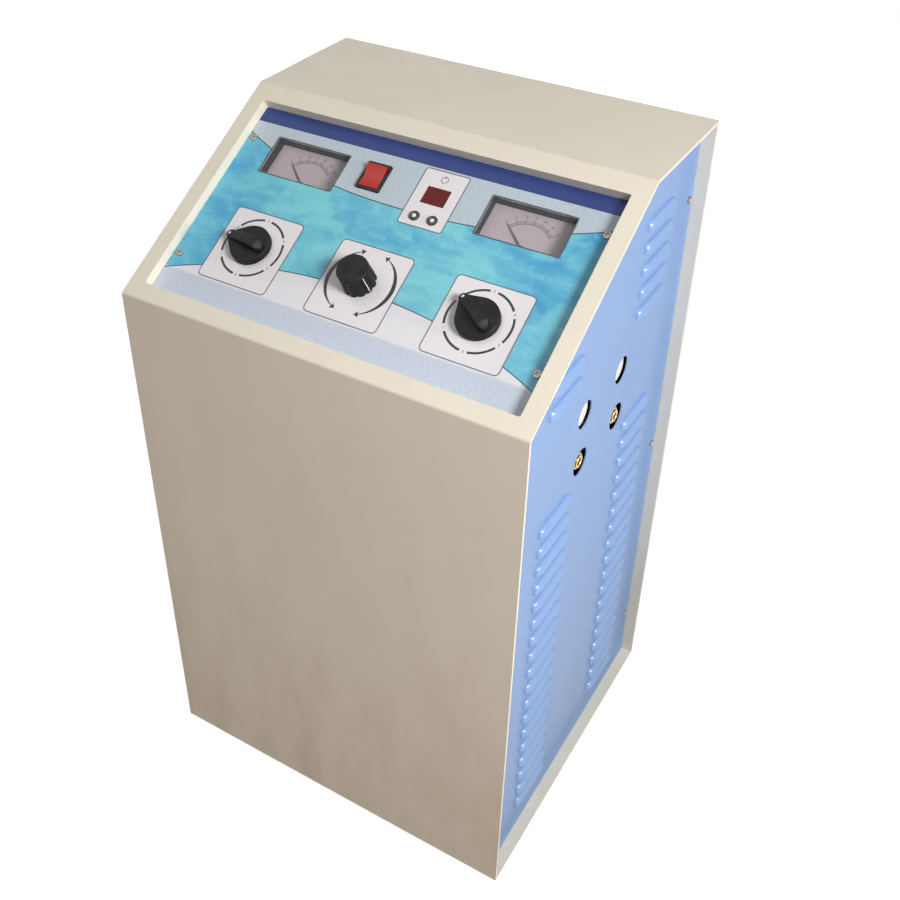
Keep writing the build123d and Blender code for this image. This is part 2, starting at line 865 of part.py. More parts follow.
for side, centre in zip(("left", "right"), meter_centres):
    with BuildPart() as needle:
        with BuildSketch(panel_level(dial_face - needle_lift)):
            with Locations((centre, pivot_row)):
                Circle(needle_hub_radius)
                with Locations(Rotation(0, 0, needle_rest_angle)):
                    Trapezoid(
                        needle_root,
                        needle_length,
                        needle_flank_angle,
                        align=(Align.CENTER, Align.MIN),
                    )
                    Rectangle(needle_root, needle_tail, align=(Align.CENTER, Align.MAX))
        extrude(amount=needle_thick)
        with BuildSketch(panel_level(case_floor - needle_spindle_rise)):
            with Locations((centre, pivot_row)):
                Circle(needle_spindle_radius)
        extrude(amount=case_floor - needle_spindle_rise - dial_face + needle_lift)
    needle.part.label = f"needle_{side}"
    export_step(needle.part, f"parts/needle_{side}.step")

# Rocker switch: a bezel and body with terminals, and the paddle on two side pins
rocker_well_width = rocker_body_width - 2 * rocker_wall
rocker_well_length = rocker_body_length - 2 * rocker_wall
rocker_width = rocker_well_width - 2 * rocker_side_gap
rocker_radius = rocker_well_length / 2 - rocker_end_gap
rocker_well = rocker_pivot_depth + rocker_radius
with BuildPart() as rocker_housing:
    with BuildSketch(panel_level(panel_recess)):
        with Locations((rocker_x, rocker_y)):
            RectangleRounded(rocker_bezel_width, rocker_bezel_length, rocker_bezel_corner)
    extrude(amount=rocker_bezel, taper=rocker_bezel_taper)
    with BuildSketch(panel_level(panel_recess)):
        with Locations((rocker_x, rocker_y)):
            Rectangle(rocker_body_width, rocker_body_length)
    extrude(amount=-rocker_body_depth)
    with BuildSketch(panel_level(panel_recess - rocker_bezel)):
        with Locations((rocker_x, rocker_y)):
            Rectangle(rocker_well_width, rocker_well_length)
    extrude(amount=-rocker_well, mode=Mode.SUBTRACT)
    with BuildSketch(panel_level(panel_recess + rocker_body_depth)):
        with Locations((rocker_x, rocker_y)):
            with GridLocations(rocker_body_width / 2, rocker_body_length / 2, 2, 2):
                Rectangle(rocker_blade_sheet, rocker_blade_width)
    extrude(amount=-rocker_blade_length)
    rocker_axle = Plane(
        origin=slope_plane.from_local_coords(
            (rocker_x, rocker_y, rocker_bezel - rocker_pivot_depth - panel_recess)
        ),
        x_dir=slope_plane.y_dir,
        z_dir=slope_plane.x_dir,
    )
    with BuildSketch(rocker_axle):
        Circle(rocker_pin_radius + running_gap)
    extrude(amount=rocker_body_width / 2 - rocker_wall / 2, both=True, mode=Mode.SUBTRACT)
rocker_housing.part.label = "rocker_housing"
export_step(rocker_housing.part, "parts/rocker_housing.step")

paddle_plane = Plane(
    origin=rocker_axle.origin,
    x_dir=slope_plane.y_dir * cos(radians(rocker_tilt))
    + slope_plane.z_dir * sin(radians(rocker_tilt)),
    z_dir=slope_plane.x_dir,
)
with BuildPart() as mains_rocker:
    with BuildSketch(paddle_plane):
        with BuildLine():
            Polyline(
                (-rocker_radius, -rocker_keel),
                (-rocker_radius, rocker_crown),
                (0, rocker_dip),
                (rocker_radius, rocker_crown),
                (rocker_radius, -rocker_keel),
                close=True,
            )
        make_face()
        Circle(rocker_radius, mode=Mode.INTERSECT)
    extrude(amount=rocker_width / 2, both=True)
    with BuildSketch(paddle_plane):
        Circle(rocker_pin_radius)
    extrude(amount=rocker_width / 2 + rocker_side_gap + rocker_wall / 4, both=True)
mains_rocker.part.label = "mains_rocker"
export_step(mains_rocker.part, "parts/mains_rocker.step")

# Timer display: red window, digit module and circuit board on spacers behind the panel
board_face = lip_depth + board_spacing
with BuildPart() as display_window:
    with BuildSketch(panel_level(lip_depth)):
        with Locations((display_x, display_y)):
            Rectangle(display_width - 2 * display_gap, display_height - 2 * display_gap)
    extrude(amount=control_sheet)
display_window.part.label = "display_window"
export_step(display_window.part, "parts/display_window.step")

with BuildPart() as display_module:
    with BuildSketch(panel_level(board_face)):
        with Locations((display_x, display_y)):
            Rectangle(display_width, display_height)
    extrude(amount=module_height)
display_module.part.label = "display_module"
export_step(display_module.part, "parts/display_module.step")

with BuildPart() as display_board:
    with BuildSketch(panel_level(board_face + board_sheet)):
        with Locations((display_x, board_y)):
            RectangleRounded(board_width, board_height, board_corner)
    extrude(amount=board_sheet)
display_board.part.label = "display_board"
export_step(display_board.part, "parts/display_board.step")

with BuildPart() as board_spacers:
    with BuildSketch(panel_level(board_face)):
        with Locations((display_x, board_y)):
            with GridLocations(
                board_width - 2 * board_spacer_inset, board_height - 2 * board_spacer_inset, 2, 2
            ):
                RegularPolygon(board_spacer_radius, 6)
    extrude(amount=board_spacing)
board_spacers.part.label = "board_spacers"
export_step(board_spacers.part, "parts/board_spacers.step")

with BuildPart() as button_switches:
    with BuildSketch(panel_level(board_face)):
        for across in button_centres:
            with Locations((across, button_y)):
                Rectangle(tact_size, tact_size)
                Circle(button_stem_radius + running_gap, mode=Mode.SUBTRACT)
    extrude(amount=tact_height)
button_switches.part.label = "button_switches"
export_step(button_switches.part, "parts/button_switches.step")

flange_top = lip_depth + running_gap
stem_top = flange_top + button_flange
stem_end = board_face - button_travel - button_gap
for side, across in zip(("left", "right"), button_centres):
    with BuildPart() as button:
        with BuildSketch(panel_level(flange_top)):
            with Locations((across, button_y)):
                Circle(button_radius)
        extrude(amount=flange_top - panel_recess + button_proud)
        chamfer(button.edges().filter_by(GeomType.CIRCLE).sort_by(slope_axis)[-1], button_edge)
        with BuildSketch(panel_level(flange_top)):
            with Locations((across, button_y)):
                Circle(button_radius + button_flange_extra)
        extrude(amount=-button_flange)
        with BuildSketch(panel_level(stem_top)):
            with Locations((across, button_y)):
                Circle(button_stem_radius)
        extrude(amount=stem_top - stem_end)
    button.part.label = f"button_{side}"
    export_step(button.part, f"parts/button_{side}.step")

# Rotary switches behind the outer two knobs: a base with its bush, and wafers on two rods
switch_back = lip_depth + switch_base + wafer_count * wafer_spacing
with BuildPart() as rotary_switches:
    for across in (dial_centres[0], dial_centres[2]):
        with BuildSketch(dial_plane(across, 0, lip_depth)):
            Circle(wafer_radius)
        extrude(amount=-switch_base)
        with BuildSketch(dial_plane(across, 0, lip_depth)):
            Circle(bush_radius)
        extrude(amount=lip_depth - panel_recess + bush_proud)
        for wafer in range(wafer_count):
            level = lip_depth + switch_base + (wafer + 1) * wafer_spacing
            with BuildSketch(dial_plane(across, 0, level)):
                Circle(wafer_radius)
            extrude(amount=wafer_sheet)
        with BuildSketch(dial_plane(across, 0, switch_back)):
            with PolarLocations(wafer_radius - 2 * wafer_rod_radius, 2):
                Circle(wafer_rod_radius)
        extrude(amount=switch_back - lip_depth)
        with BuildSketch(dial_plane(across, 0, switch_back + wafer_sheet)):
            Circle(spindle_radius + running_gap)
        extrude(amount=switch_back + wafer_sheet, mode=Mode.SUBTRACT)
rotary_switches.part.label = "rotary_switches"
export_step(rotary_switches.part, "parts/rotary_switches.step")

with BuildPart() as bush_nuts:
    for across in dial_centres:
        with BuildSketch(dial_plane(across, 0, panel_recess)):
            RegularPolygon(nut_flats / 2, 6, major_radius=False)
            Circle(bush_radius, mode=Mode.SUBTRACT)
        extrude(amount=nut_height)
bush_nuts.part.label = "bush_nuts"
export_step(bush_nuts.part, "parts/bush_nuts.step")

# Pointer knobs: a tapered skirt under a bar that runs out to a nose, and their spindles
knob_base = panel_recess - knob_lift
pointer_spindle_end = knob_base - pointer_height + knob_cap
for name, across, turn in (
    ("selector", dial_centres[0], selector_angle),
    ("intensity", dial_centres[2], intensity_angle),
):
    base = dial_plane(across, turn, knob_base)
    with BuildPart() as pointer_knob:
        tail = pointer_bar_radius - pointer_skirt_radius + pointer_tail_inset
        with BuildSketch(base):
            with Locations((tail, 0)):
                Circle(pointer_bar_radius)
            with Locations((pointer_nose - pointer_nose_radius, 0)):
                Circle(pointer_nose_radius)
            make_hull()
        extrude(amount=pointer_height)
        profile = Plane(origin=base.origin, x_dir=base.x_dir, z_dir=-base.y_dir)
        with BuildSketch(profile):
            shoulder = pointer_bar_radius - pointer_skirt_radius
            with BuildLine():
                Polyline(
                    (-pointer_skirt_radius, 0),
                    (-pointer_skirt_radius, pointer_skirt_height + pointer_tail_step),
                    (shoulder, pointer_height),
                    (pointer_flat_end, pointer_height),
                    (pointer_nose, pointer_nose_height),
                    (pointer_nose, 0),
                    close=True,
                )
            make_face()
        extrude(amount=pointer_bar_radius, both=True, mode=Mode.INTERSECT)
        fillet(pointer_knob.faces().sort_by(slope_axis)[-1].edges(), knob_edge)
        with BuildSketch(base):
            Circle(pointer_skirt_radius)
        extrude(amount=pointer_skirt_height, taper=pointer_skirt_taper)
        with BuildSketch(base):
            Circle(knob_recess_radius)
        extrude(amount=knob_recess, mode=Mode.SUBTRACT)
        with BuildSketch(base):
            Circle(spindle_radius)
        extrude(amount=pointer_height - knob_cap, mode=Mode.SUBTRACT)
    pointer_knob.part.label = f"{name}_knob"
    export_step(pointer_knob.part, f"parts/{name}_knob.step")

    with BuildPart() as spindle:
        with BuildSketch(dial_plane(across, 0, switch_back)):
            Circle(spindle_radius)
        extrude(amount=switch_back - pointer_spindle_end)
    spindle.part.label = f"{name}_spindle"
    export_step(spindle.part, f"parts/{name}_spindle.step")

# Tuning knob: a tall tapered cylinder with flutes
with BuildPart() as tuner_knob:
    base = dial_plane(dial_centres[1], tuner_angle, knob_base)
    crown = tuner_knob_radius - tuner_knob_height * tan(radians(tuner_knob_taper))
    with BuildSketch(Plane(origin=base.origin, x_dir=base.x_dir, z_dir=-base.y_dir)):
        with BuildLine():
            Polyline(
                (0, 0),
                (tuner_knob_radius, 0),
                (crown, tuner_knob_height - knob_edge),
                (crown - knob_edge, tuner_knob_height),
                (0, tuner_knob_height),
                close=True,
            )
        make_face()
    revolve(axis=Axis(base.origin, base.z_dir))
    with BuildSketch(base):
        with PolarLocations(tuner_knob_radius, flute_count, start_angle=180 / flute_count):
            Circle(flute_radius)
    extrude(amount=tuner_knob_height - 2 * flute_radius, mode=Mode.SUBTRACT)
    with BuildSketch(base):
        Circle(knob_recess_radius)
    extrude(amount=knob_recess, mode=Mode.SUBTRACT)
    with BuildSketch(base):
        Circle(spindle_radius)
    extrude(amount=tuner_knob_height - knob_cap, mode=Mode.SUBTRACT)
tuner_knob.part.label = "tuner_knob"
export_step(tuner_knob.part, "parts/tuner_knob.step")

# Tuning capacitor: end plates on pillars and tie rods, half-round rotor and stator vanes
tuner_front = lip_depth + tuner_standoff
vane_start = tuner_front + tuner_plate_sheet
tuner_rear = vane_start + (vane_count + 1) * vane_pitch
tuner_across = dial_centres[1]
tuner_corner = tuner_plate_size - 4 * tuner_pillar_radius
with BuildPart() as tuner_frame:
    for level in (tuner_front, tuner_rear):
        with BuildSketch(dial_plane(tuner_across, 0, level + tuner_plate_sheet)):
            RectangleRounded(tuner_plate_size, tuner_plate_size, tuner_pillar_radius)
        extrude(amount=tuner_plate_sheet)
    with BuildSketch(dial_plane(tuner_across, 0, tuner_rear)):
        with GridLocations(tuner_corner, tuner_corner, 2, 2):
            Circle(tuner_pillar_radius)
    extrude(amount=tuner_rear - lip_depth)
    with BuildSketch(dial_plane(tuner_across, 0, tuner_front)):
        Circle(bush_radius)
    extrude(amount=tuner_front - panel_recess + bush_proud)
    with BuildSketch(dial_plane(tuner_across, 0, tuner_rear + tuner_plate_sheet)):
        Circle(spindle_radius + running_gap)
    extrude(amount=tuner_rear + tuner_plate_sheet, mode=Mode.SUBTRACT)
tuner_frame.part.label = "tuner_frame"
export_step(tuner_frame.part, "parts/tuner_frame.step")

with BuildPart() as tuner_rotor:
    with BuildSketch(dial_plane(tuner_across, 0, tuner_rear + tuner_plate_sheet)):
        Circle(spindle_radius)
    extrude(amount=tuner_rear + tuner_plate_sheet - knob_base + tuner_knob_height - knob_cap)
    for vane in range(vane_count):
        level = vane_start + (vane + 1) * vane_pitch + vane_sheet / 2
        with BuildSketch(dial_plane(tuner_across, 0, level)):
            Circle(rotor_radius)
            Rectangle(
                rotor_radius,
                2 * rotor_radius,
                align=(Align.MAX, Align.CENTER),
                mode=Mode.SUBTRACT,
            )
            Circle(rotor_hub_radius)
        extrude(amount=vane_sheet)
tuner_rotor.part.label = "tuner_rotor"
export_step(tuner_rotor.part, "parts/tuner_rotor.step")

with BuildPart() as tuner_stator:
    for vane in range(vane_count - 1):
        level = vane_start + (vane + 1) * vane_pitch + (vane_pitch + vane_sheet) / 2
        with BuildSketch(dial_plane(tuner_across, 0, level)):
            Circle(stator_radius)
            Circle(stator_bore, mode=Mode.SUBTRACT)
            Rectangle(
                2 * stator_radius,
                stator_radius,
                align=(Align.CENTER, Align.MIN),
                mode=Mode.SUBTRACT,
            )
        extrude(amount=vane_sheet)
    with BuildSketch(dial_plane(tuner_across, 0, tuner_rear)):
        with PolarLocations(
            stator_rod_circle,
            stator_rod_count,
            stator_rod_start,
            angular_range=stator_rod_span,
            endpoint=True,
        ):
            Circle(stator_rod_radius)
    extrude(amount=tuner_rear - vane_start)
tuner_stator.part.label = "tuner_stator"
export_step(tuner_stator.part, "parts/tuner_stator.step")

# Shelf on the frame rails, with two tabs turned up for the outlet board
board_outer = side_face - outlet_board_setback
board_inner = board_outer - outlet_board_thick
shelf_top = shelf_z + shelf_sheet
shelf_front = front_y + wrap_sheet + frame_sheet + shelf_gap
shelf_rear = rear_inner - frame_sheet - shelf_gap
with BuildPart() as chassis_shelf:
    with BuildSketch(Plane.XY.offset(shelf_z)):
        with Locations((0, (shelf_front + shelf_rear) / 2)):
            Rectangle(2 * (frame_face - frame_sheet - shelf_gap), shelf_rear - shelf_front)
            with GridLocations(shelf_slot_spacing, shelf_slot_pitch, 2, shelf_slot_rows):
                SlotOverall(shelf_slot_length, shelf_slot_width, mode=Mode.SUBTRACT)
    extrude(amount=shelf_sheet)
    with BuildSketch(Plane.XY.offset(shelf_z)):
        for edge in (shelf_front + shelf_sheet / 2, shelf_rear - shelf_sheet / 2):
            with Locations((0, edge)):
                Rectangle(2 * (frame_face - frame_sheet - frame_leg - shelf_gap), shelf_sheet)
    extrude(amount=-shelf_flange)
    with BuildSketch(Plane.XY.offset(shelf_top)):
        with Locations((board_inner - shelf_sheet / 2, 0)):
            with GridLocations(0, outlet_spacing, 1, 2):
                Rectangle(shelf_sheet, tab_width)
    extrude(amount=tab_height)
chassis_shelf.part.label = "chassis_shelf"
export_step(chassis_shelf.part, "parts/chassis_shelf.step")

# Outlets: an insulating board behind the side panel, brass sockets below, blanks above
board_plane = Plane.YZ.offset(board_outer)
with BuildPart() as outlet_board:
    board_top = outlet_high_z + outlet_board_margin
    with BuildSketch(board_plane):
        with Locations((0, shelf_top)):
            Rectangle(
                outlet_spacing + 2 * outlet_board_margin,
                board_top - shelf_top,
                align=(Align.CENTER, Align.MIN),
            )
        with Locations((0, outlet_mid_z)):
            with GridLocations(outlet_spacing, outlet_rise, 2, 2):
                Circle(socket_tail_radius + running_gap, mode=Mode.SUBTRACT)
    extrude(amount=-outlet_board_thick)
outlet_board.part.label = "outlet_board"
export_step(outlet_board.part, "parts/outlet_board.step")

socket_front = side_face - socket_setback
with BuildPart() as outlet_sockets:
    with BuildSketch(board_plane):
        with Locations((0, outlet_low_z)):
            with GridLocations(outlet_spacing, 0, 2, 1):
                Circle(socket_radius)
    extrude(amount=socket_front - board_outer)
    with BuildSketch(board_plane):
        with Locations((0, outlet_low_z)):
            with GridLocations(outlet_spacing, 0, 2, 1):
                RegularPolygon(socket_flange_radius, 6)
    extrude(amount=socket_flange)
    with BuildSketch(board_plane):
        with Locations((0, outlet_low_z)):
            with GridLocations(outlet_spacing, 0, 2, 1):
                Circle(socket_tail_radius)
    extrude(amount=-outlet_board_thick - socket_tail)
    with BuildSketch(Plane.YZ.offset(socket_front)):
        with Locations((0, outlet_low_z)):
            with GridLocations(outlet_spacing, 0, 2, 1):
                Circle(socket_bore_radius)
    extrude(amount=-socket_bore_depth, mode=Mode.SUBTRACT)
outlet_sockets.part.label = "outlet_sockets"
export_step(outlet_sockets.part, "parts/outlet_sockets.step")

with BuildPart() as outlet_blanks:
    with BuildSketch(board_plane):
        with Locations((0, outlet_high_z)):
            with GridLocations(outlet_spacing, 0, 2, 1):
                Circle(outlet_hole_radius - blank_gap)
    extrude(amount=side_face - blank_setback - board_outer)
    with BuildSketch(board_plane):
        with Locations((0, outlet_high_z)):
            with GridLocations(outlet_spacing, 0, 2, 1):
                Circle(socket_tail_radius)
    extrude(amount=-outlet_board_thick - blank_tail)
outlet_blanks.part.label = "outlet_blanks"
export_step(outlet_blanks.part, "parts/outlet_blanks.step")

# Oscillator valve in its socket, and the tank coil wound on a former
with BuildPart() as valve_socket:
    with BuildSketch(Plane.XY.offset(shelf_top)):
        with Locations((valve_x, valve_y)):
            Circle(valve_base_radius)
    extrude(amount=valve_base_height, taper=valve_base_taper)
valve_socket.part.label = "valve_socket"
export_step(valve_socket.part, "parts/valve_socket.step")

with BuildPart() as oscillator_valve:
    neck = valve_base_radius - valve_pin_inset
    with BuildSketch(Plane.XZ.offset(-valve_y)):
        with BuildLine():
            foot_z = shelf_top + valve_base_height
            bulb_top = foot_z + valve_height
            Line((valve_x, foot_z), (valve_x + neck, foot_z))
            Line((valve_x + neck, foot_z), (valve_x + neck, foot_z + neck))
            Line((valve_x + neck, foot_z + neck), (valve_x + valve_radius, foot_z + 2 * neck))
            shoulder_z = bulb_top - valve_crown
            Line((valve_x + valve_radius, foot_z + 2 * neck), (valve_x + valve_radius, shoulder_z))
            Line((valve_x + valve_radius, shoulder_z), (valve_x + valve_tip_radius, bulb_top))
            Line((valve_x + valve_tip_radius, bulb_top), (valve_x, bulb_top))
            Line((valve_x, bulb_top), (valve_x, foot_z))
        make_face()
    revolve(axis=Axis((valve_x, valve_y, 0), (0, 0, 1)))
oscillator_valve.part.label = "oscillator_valve"
export_step(oscillator_valve.part, "parts/oscillator_valve.step")

with BuildPart() as coil_former:
    with BuildSketch(Plane.XY.offset(shelf_top)):
        with Locations((coil_x, coil_y)):
            Circle(coil_former_radius)
    extrude(amount=coil_former_height)
    for level in (shelf_top, shelf_top + coil_former_height - coil_cheek):
        with BuildSketch(Plane.XY.offset(level)):
            with Locations((coil_x, coil_y)):
                Circle(coil_cheek_radius)
        extrude(amount=coil_cheek)
coil_former.part.label = "coil_former"
export_step(coil_former.part, "parts/coil_former.step")

with BuildPart() as tank_winding:
    with BuildSketch(Plane.XY.offset(shelf_top + coil_cheek)):
        with Locations((coil_x, coil_y)):
            Circle(coil_former_radius + coil_winding)
            Circle(coil_former_radius, mode=Mode.SUBTRACT)
    extrude(amount=coil_former_height - 2 * coil_cheek)
tank_winding.part.label = "tank_winding"
export_step(tank_winding.part, "parts/tank_winding.step")

# Transformers on the base: laminated shell cores round a winding on the middle limb
small_core = (small_core_width, small_core_height, small_core_depth, small_core_limb)
transformers = (
    (transformer_x, core_width, core_height, core_depth, core_limb, winding_overhang),
    (small_transformer_x, *small_core, small_winding_overhang),
)
with BuildPart() as transformer_cores:
    for across, wide, tall, deep, limb, _ in transformers:
        with BuildSketch(Plane.XZ.offset(-transformer_y - deep / 2)):
            with Locations((across, floor_top)):
                Rectangle(wide, tall, align=(Align.CENTER, Align.MIN))
            with Locations((across, floor_top + tall / 2)):
                with GridLocations(wide / 2, 0, 2, 1):
                    Rectangle(wide / 2 - 2 * limb, tall - 2 * limb, mode=Mode.SUBTRACT)
        extrude(amount=deep)
transformer_cores.part.label = "transformer_cores"
export_step(transformer_cores.part, "parts/transformer_cores.step")

with BuildPart() as transformer_windings:
    for across, wide, tall, deep, limb, overhang in transformers:
        with BuildSketch(Plane.XY.offset(floor_top + limb + winding_gap)):
            with Locations((across, transformer_y)):
                Rectangle(wide - 2 * limb - 2 * winding_gap, deep + 2 * overhang)
                Rectangle(
                    2 * limb + 2 * winding_gap, deep + 2 * winding_gap, mode=Mode.SUBTRACT
                )
        extrude(amount=tall - 2 * limb - 2 * winding_gap)
transformer_windings.part.label = "transformer_windings"
export_step(transformer_windings.part, "parts/transformer_windings.step")

with BuildPart() as smoothing_capacitors:
    with BuildSketch(Plane.XY.offset(floor_top)):
        with Locations((capacitor_x, capacitor_y)):
            with GridLocations(0, capacitor_spacing, 1, 2):
                Circle(capacitor_radius)
    extrude(amount=capacitor_height)
    with BuildSketch(Plane.XY.offset(floor_top + capacitor_height)):
        with Locations((capacitor_x, capacitor_y)):
            with GridLocations(0, capacitor_spacing, 1, 2):
                with GridLocations(capacitor_radius, 0, 2, 1):
                    Circle(capacitor_stud_radius)
    extrude(amount=capacitor_stud)
smoothing_capacitors.part.label = "smoothing_capacitors"
export_step(smoothing_capacitors.part, "parts/smoothing_capacitors.step")

# Fan on the rear panel: square frame with a spider, and a rotor running on the spider's pin
fan_z = base_z + fan_height
fan_front = fan_depth + panel_sheet
with BuildPart() as fan_housing:
    with BuildSketch(rear_plane.offset(-fan_front)):
        with Locations((0, fan_z)):
            RectangleRounded(fan_size, fan_size, fan_corner)
            Circle(fan_bore_radius, mode=Mode.SUBTRACT)
    extrude(amount=fan_depth)
    with BuildSketch(rear_plane.offset(-fan_front)):
        with Locations((0, fan_z)):
            Circle(fan_hub_radius)
            Rectangle(2 * fan_bore_radius + fan_strut, fan_strut)
            Rectangle(fan_strut, 2 * fan_bore_radius + fan_strut)
    extrude(amount=fan_hub_base)
    with BuildSketch(rear_plane.offset(-fan_front)):
        with Locations((0, fan_z)):
            Circle(fan_pin_radius)
    extrude(amount=fan_pin_length)
fan_housing.part.label = "fan_housing"
export_step(fan_housing.part, "parts/fan_housing.step")

hub_level = fan_front - fan_hub_base - fan_face_gap
hub_depth = fan_depth - fan_hub_base - 2 * fan_face_gap
hub_mid = rear_face - hub_level + hub_depth / 2
with BuildPart() as fan_rotor:
    with BuildSketch(rear_plane.offset(-hub_level)):
        with Locations((0, fan_z)):
            Circle(fan_hub_radius)
    extrude(amount=hub_depth)
    for blade in range(fan_blades):
        turn = radians(360 * blade / fan_blades)
        pitch = radians(fan_blade_pitch)
        outward = Vector(cos(turn), 0, sin(turn))
        around = Vector(-sin(turn), 0, cos(turn))
        blade_plane = Plane(
            origin=Vector(0, hub_mid, fan_z) + outward * fan_blade_root,
            x_dir=around * cos(pitch) + Vector(0, 1, 0) * sin(pitch),
            z_dir=outward,
        )
        with BuildSketch(blade_plane):
            Rectangle(fan_blade_chord, fan_blade_sheet)
        extrude(amount=fan_bore_radius - fan_tip_gap - fan_blade_root)
    with BuildSketch(rear_plane.offset(-hub_level)):
        with Locations((0, fan_z)):
            Circle(fan_pin_radius + running_gap)
    extrude(amount=fan_pin_length - fan_hub_base, mode=Mode.SUBTRACT)
fan_rotor.part.label = "fan_rotor"
export_step(fan_rotor.part, "parts/fan_rotor.step")

# Mains inlet with its three pins, and the fuse holder above it, on the inlet plate
with BuildPart() as mains_inlet:
    with BuildSketch(inlet_plane):
        with Locations((-inlet_x, inlet_z)):
            RectangleRounded(inlet_flange_width, inlet_flange_tall, inlet_flange_corner)
    extrude(amount=inlet_flange)
    with BuildSketch(inlet_plane):
        with Locations((-inlet_x, inlet_z)):
            RectangleRounded(inlet_width, inlet_tall, inlet_corner)
    extrude(amount=-inlet_depth)
    with BuildSketch(inlet_plane.offset(inlet_flange)):
        with Locations((-inlet_x, inlet_z)):
            RectangleRounded(
                inlet_width - 2 * inlet_wall, inlet_tall - 2 * inlet_wall, inlet_bore_corner
            )
    extrude(amount=-inlet_depth - inlet_flange + inlet_wall, mode=Mode.SUBTRACT)
    with BuildSketch(inlet_plane.offset(inlet_wall - inlet_depth)):
        with Locations(
            (-inlet_x - inlet_width / 4, inlet_z - inlet_live_drop),
            (-inlet_x, inlet_z + inlet_earth_rise),
            (-inlet_x + inlet_width / 4, inlet_z - inlet_live_drop),
        ):
            Rectangle(inlet_pin_width, inlet_pin_tall)
    extrude(amount=inlet_pin)
    with BuildSketch(inlet_plane):
        with Locations((-inlet_x, inlet_z + fuse_spacing)):
            Circle(fuse_cap_radius)
    extrude(amount=fuse_cap)
    with BuildSketch(inlet_plane):
        with Locations((-inlet_x, inlet_z + fuse_spacing)):
            Circle(fuse_radius)
    extrude(amount=-fuse_depth)
mains_inlet.part.label = "mains_inlet"
export_step(mains_inlet.part, "parts/mains_inlet.step")

# Castors: bolted plates with a race and kingpin, trailing forks and moulded wheels
plate_under = base_z - castor_plate_sheet
race_under = plate_under - race_height
crown_top = race_under - swivel_gap
crown_under = crown_top - crown_sheet
with BuildPart() as castor_plates:
    for centre in castor_centres().values():
        with BuildSketch(Plane.XY.offset(plate_under)):
            with Locations(centre):
                RectangleRounded(castor_plate, castor_plate, castor_plate_corner)
                with GridLocations(castor_bolt_spacing, castor_bolt_spacing, 2, 2):
                    Circle(castor_bolt_radius + screw_clearance, mode=Mode.SUBTRACT)
        extrude(amount=castor_plate_sheet)
        with BuildSketch(Plane.XY.offset(plate_under)):
            with Locations(centre):
                Circle(race_radius)
        extrude(amount=-race_height, taper=race_taper)
        with BuildSketch(Plane.XY.offset(race_under)):
            with Locations(centre):
                Circle(kingpin_radius)
        extrude(amount=-crown_sheet - 2 * swivel_gap)
        with BuildSketch(Plane.XY.offset(crown_under - swivel_gap)):
            with Locations(centre):
                Circle(kingpin_head_radius)
        extrude(amount=-kingpin_head)
castor_plates.part.label = "castor_plates"
export_step(castor_plates.part, "parts/castor_plates.step")

with BuildPart() as castor_bolts:
    for centre in castor_centres().values():
        for level, tall in ((plate_under - castor_head, castor_head), (floor_top, castor_head)):
            with BuildSketch(Plane.XY.offset(level)):
                with Locations(centre):
                    with GridLocations(castor_bolt_spacing, castor_bolt_spacing, 2, 2):
                        RegularPolygon(castor_head_flats / 2, 6, major_radius=False)
            extrude(amount=tall)
        with BuildSketch(Plane.XY.offset(plate_under - castor_head)):
            with Locations(centre):
                with GridLocations(castor_bolt_spacing, castor_bolt_spacing, 2, 2):
                    Circle(castor_bolt_radius)
        extrude(amount=floor_top - plate_under + 2 * castor_head)
castor_bolts.part.label = "castor_bolts"
export_step(castor_bolts.part, "parts/castor_bolts.step")

fork_inner = wheel_width / 2 + fork_gap
fork_outer = fork_inner + fork_sheet
for corner, (across, along) in castor_centres().items():
    axle_y = along + castor_trail
    with BuildPart() as castor_fork:
        with BuildSketch(Plane.XY.offset(crown_under)):
            with Locations((across, along)):
                Circle(race_radius)
        extrude(amount=crown_sheet)
        for leg in (across - fork_outer, across + fork_inner):
            with BuildSketch(Plane.YZ.offset(leg)):
                with Locations((axle_y, wheel_radius)):
                    Circle(fork_boss_radius)
                with Locations((along, crown_under)):
                    Rectangle(fork_top_width, crown_sheet, align=(Align.CENTER, Align.MIN))
                make_hull()
            extrude(amount=fork_sheet)
        with BuildSketch(Plane.YZ.offset(across)):
            with Locations((axle_y, wheel_radius)):
                Circle(axle_radius)
        extrude(amount=fork_outer, both=True)
        for head in (across - fork_outer - axle_head, across + fork_outer):
            with BuildSketch(Plane.YZ.offset(head)):
                with Locations((axle_y, wheel_radius)):
                    Circle(axle_head_radius)
            extrude(amount=axle_head)
        with BuildSketch(Plane.XY.offset(crown_under)):
            with Locations((across, along)):
                Circle(kingpin_radius + running_gap)
        extrude(amount=crown_sheet, mode=Mode.SUBTRACT)
    castor_fork.part.label = f"castor_fork_{corner}"
    export_step(castor_fork.part, f"parts/castor_fork_{corner}.step")

    axle_plane = Plane(origin=(across, axle_y, wheel_radius), x_dir=(1, 0, 0), z_dir=(0, -1, 0))
    with BuildPart() as castor_wheel:
        with BuildSketch(axle_plane) as wheel_section:
            bore = axle_radius + running_gap
            with Locations((0, bore)):
                Rectangle(wheel_width, wheel_hub_radius - bore, align=(Align.CENTER, Align.MIN))
                Rectangle(wheel_web, wheel_rim_radius - bore, align=(Align.CENTER, Align.MIN))
            with Locations((0, wheel_radius)):
                Rectangle(
                    wheel_width,
                    wheel_radius - wheel_rim_radius,
                    align=(Align.CENTER, Align.MAX),
                )
            chamfer(wheel_section.vertices().group_by(Axis.Y)[-1], wheel_edge)
        revolve(axis=Axis(axle_plane.origin, axle_plane.x_dir))
    castor_wheel.part.label = f"castor_wheel_{corner}"
    export_step(castor_wheel.part, f"parts/castor_wheel_{corner}.step")
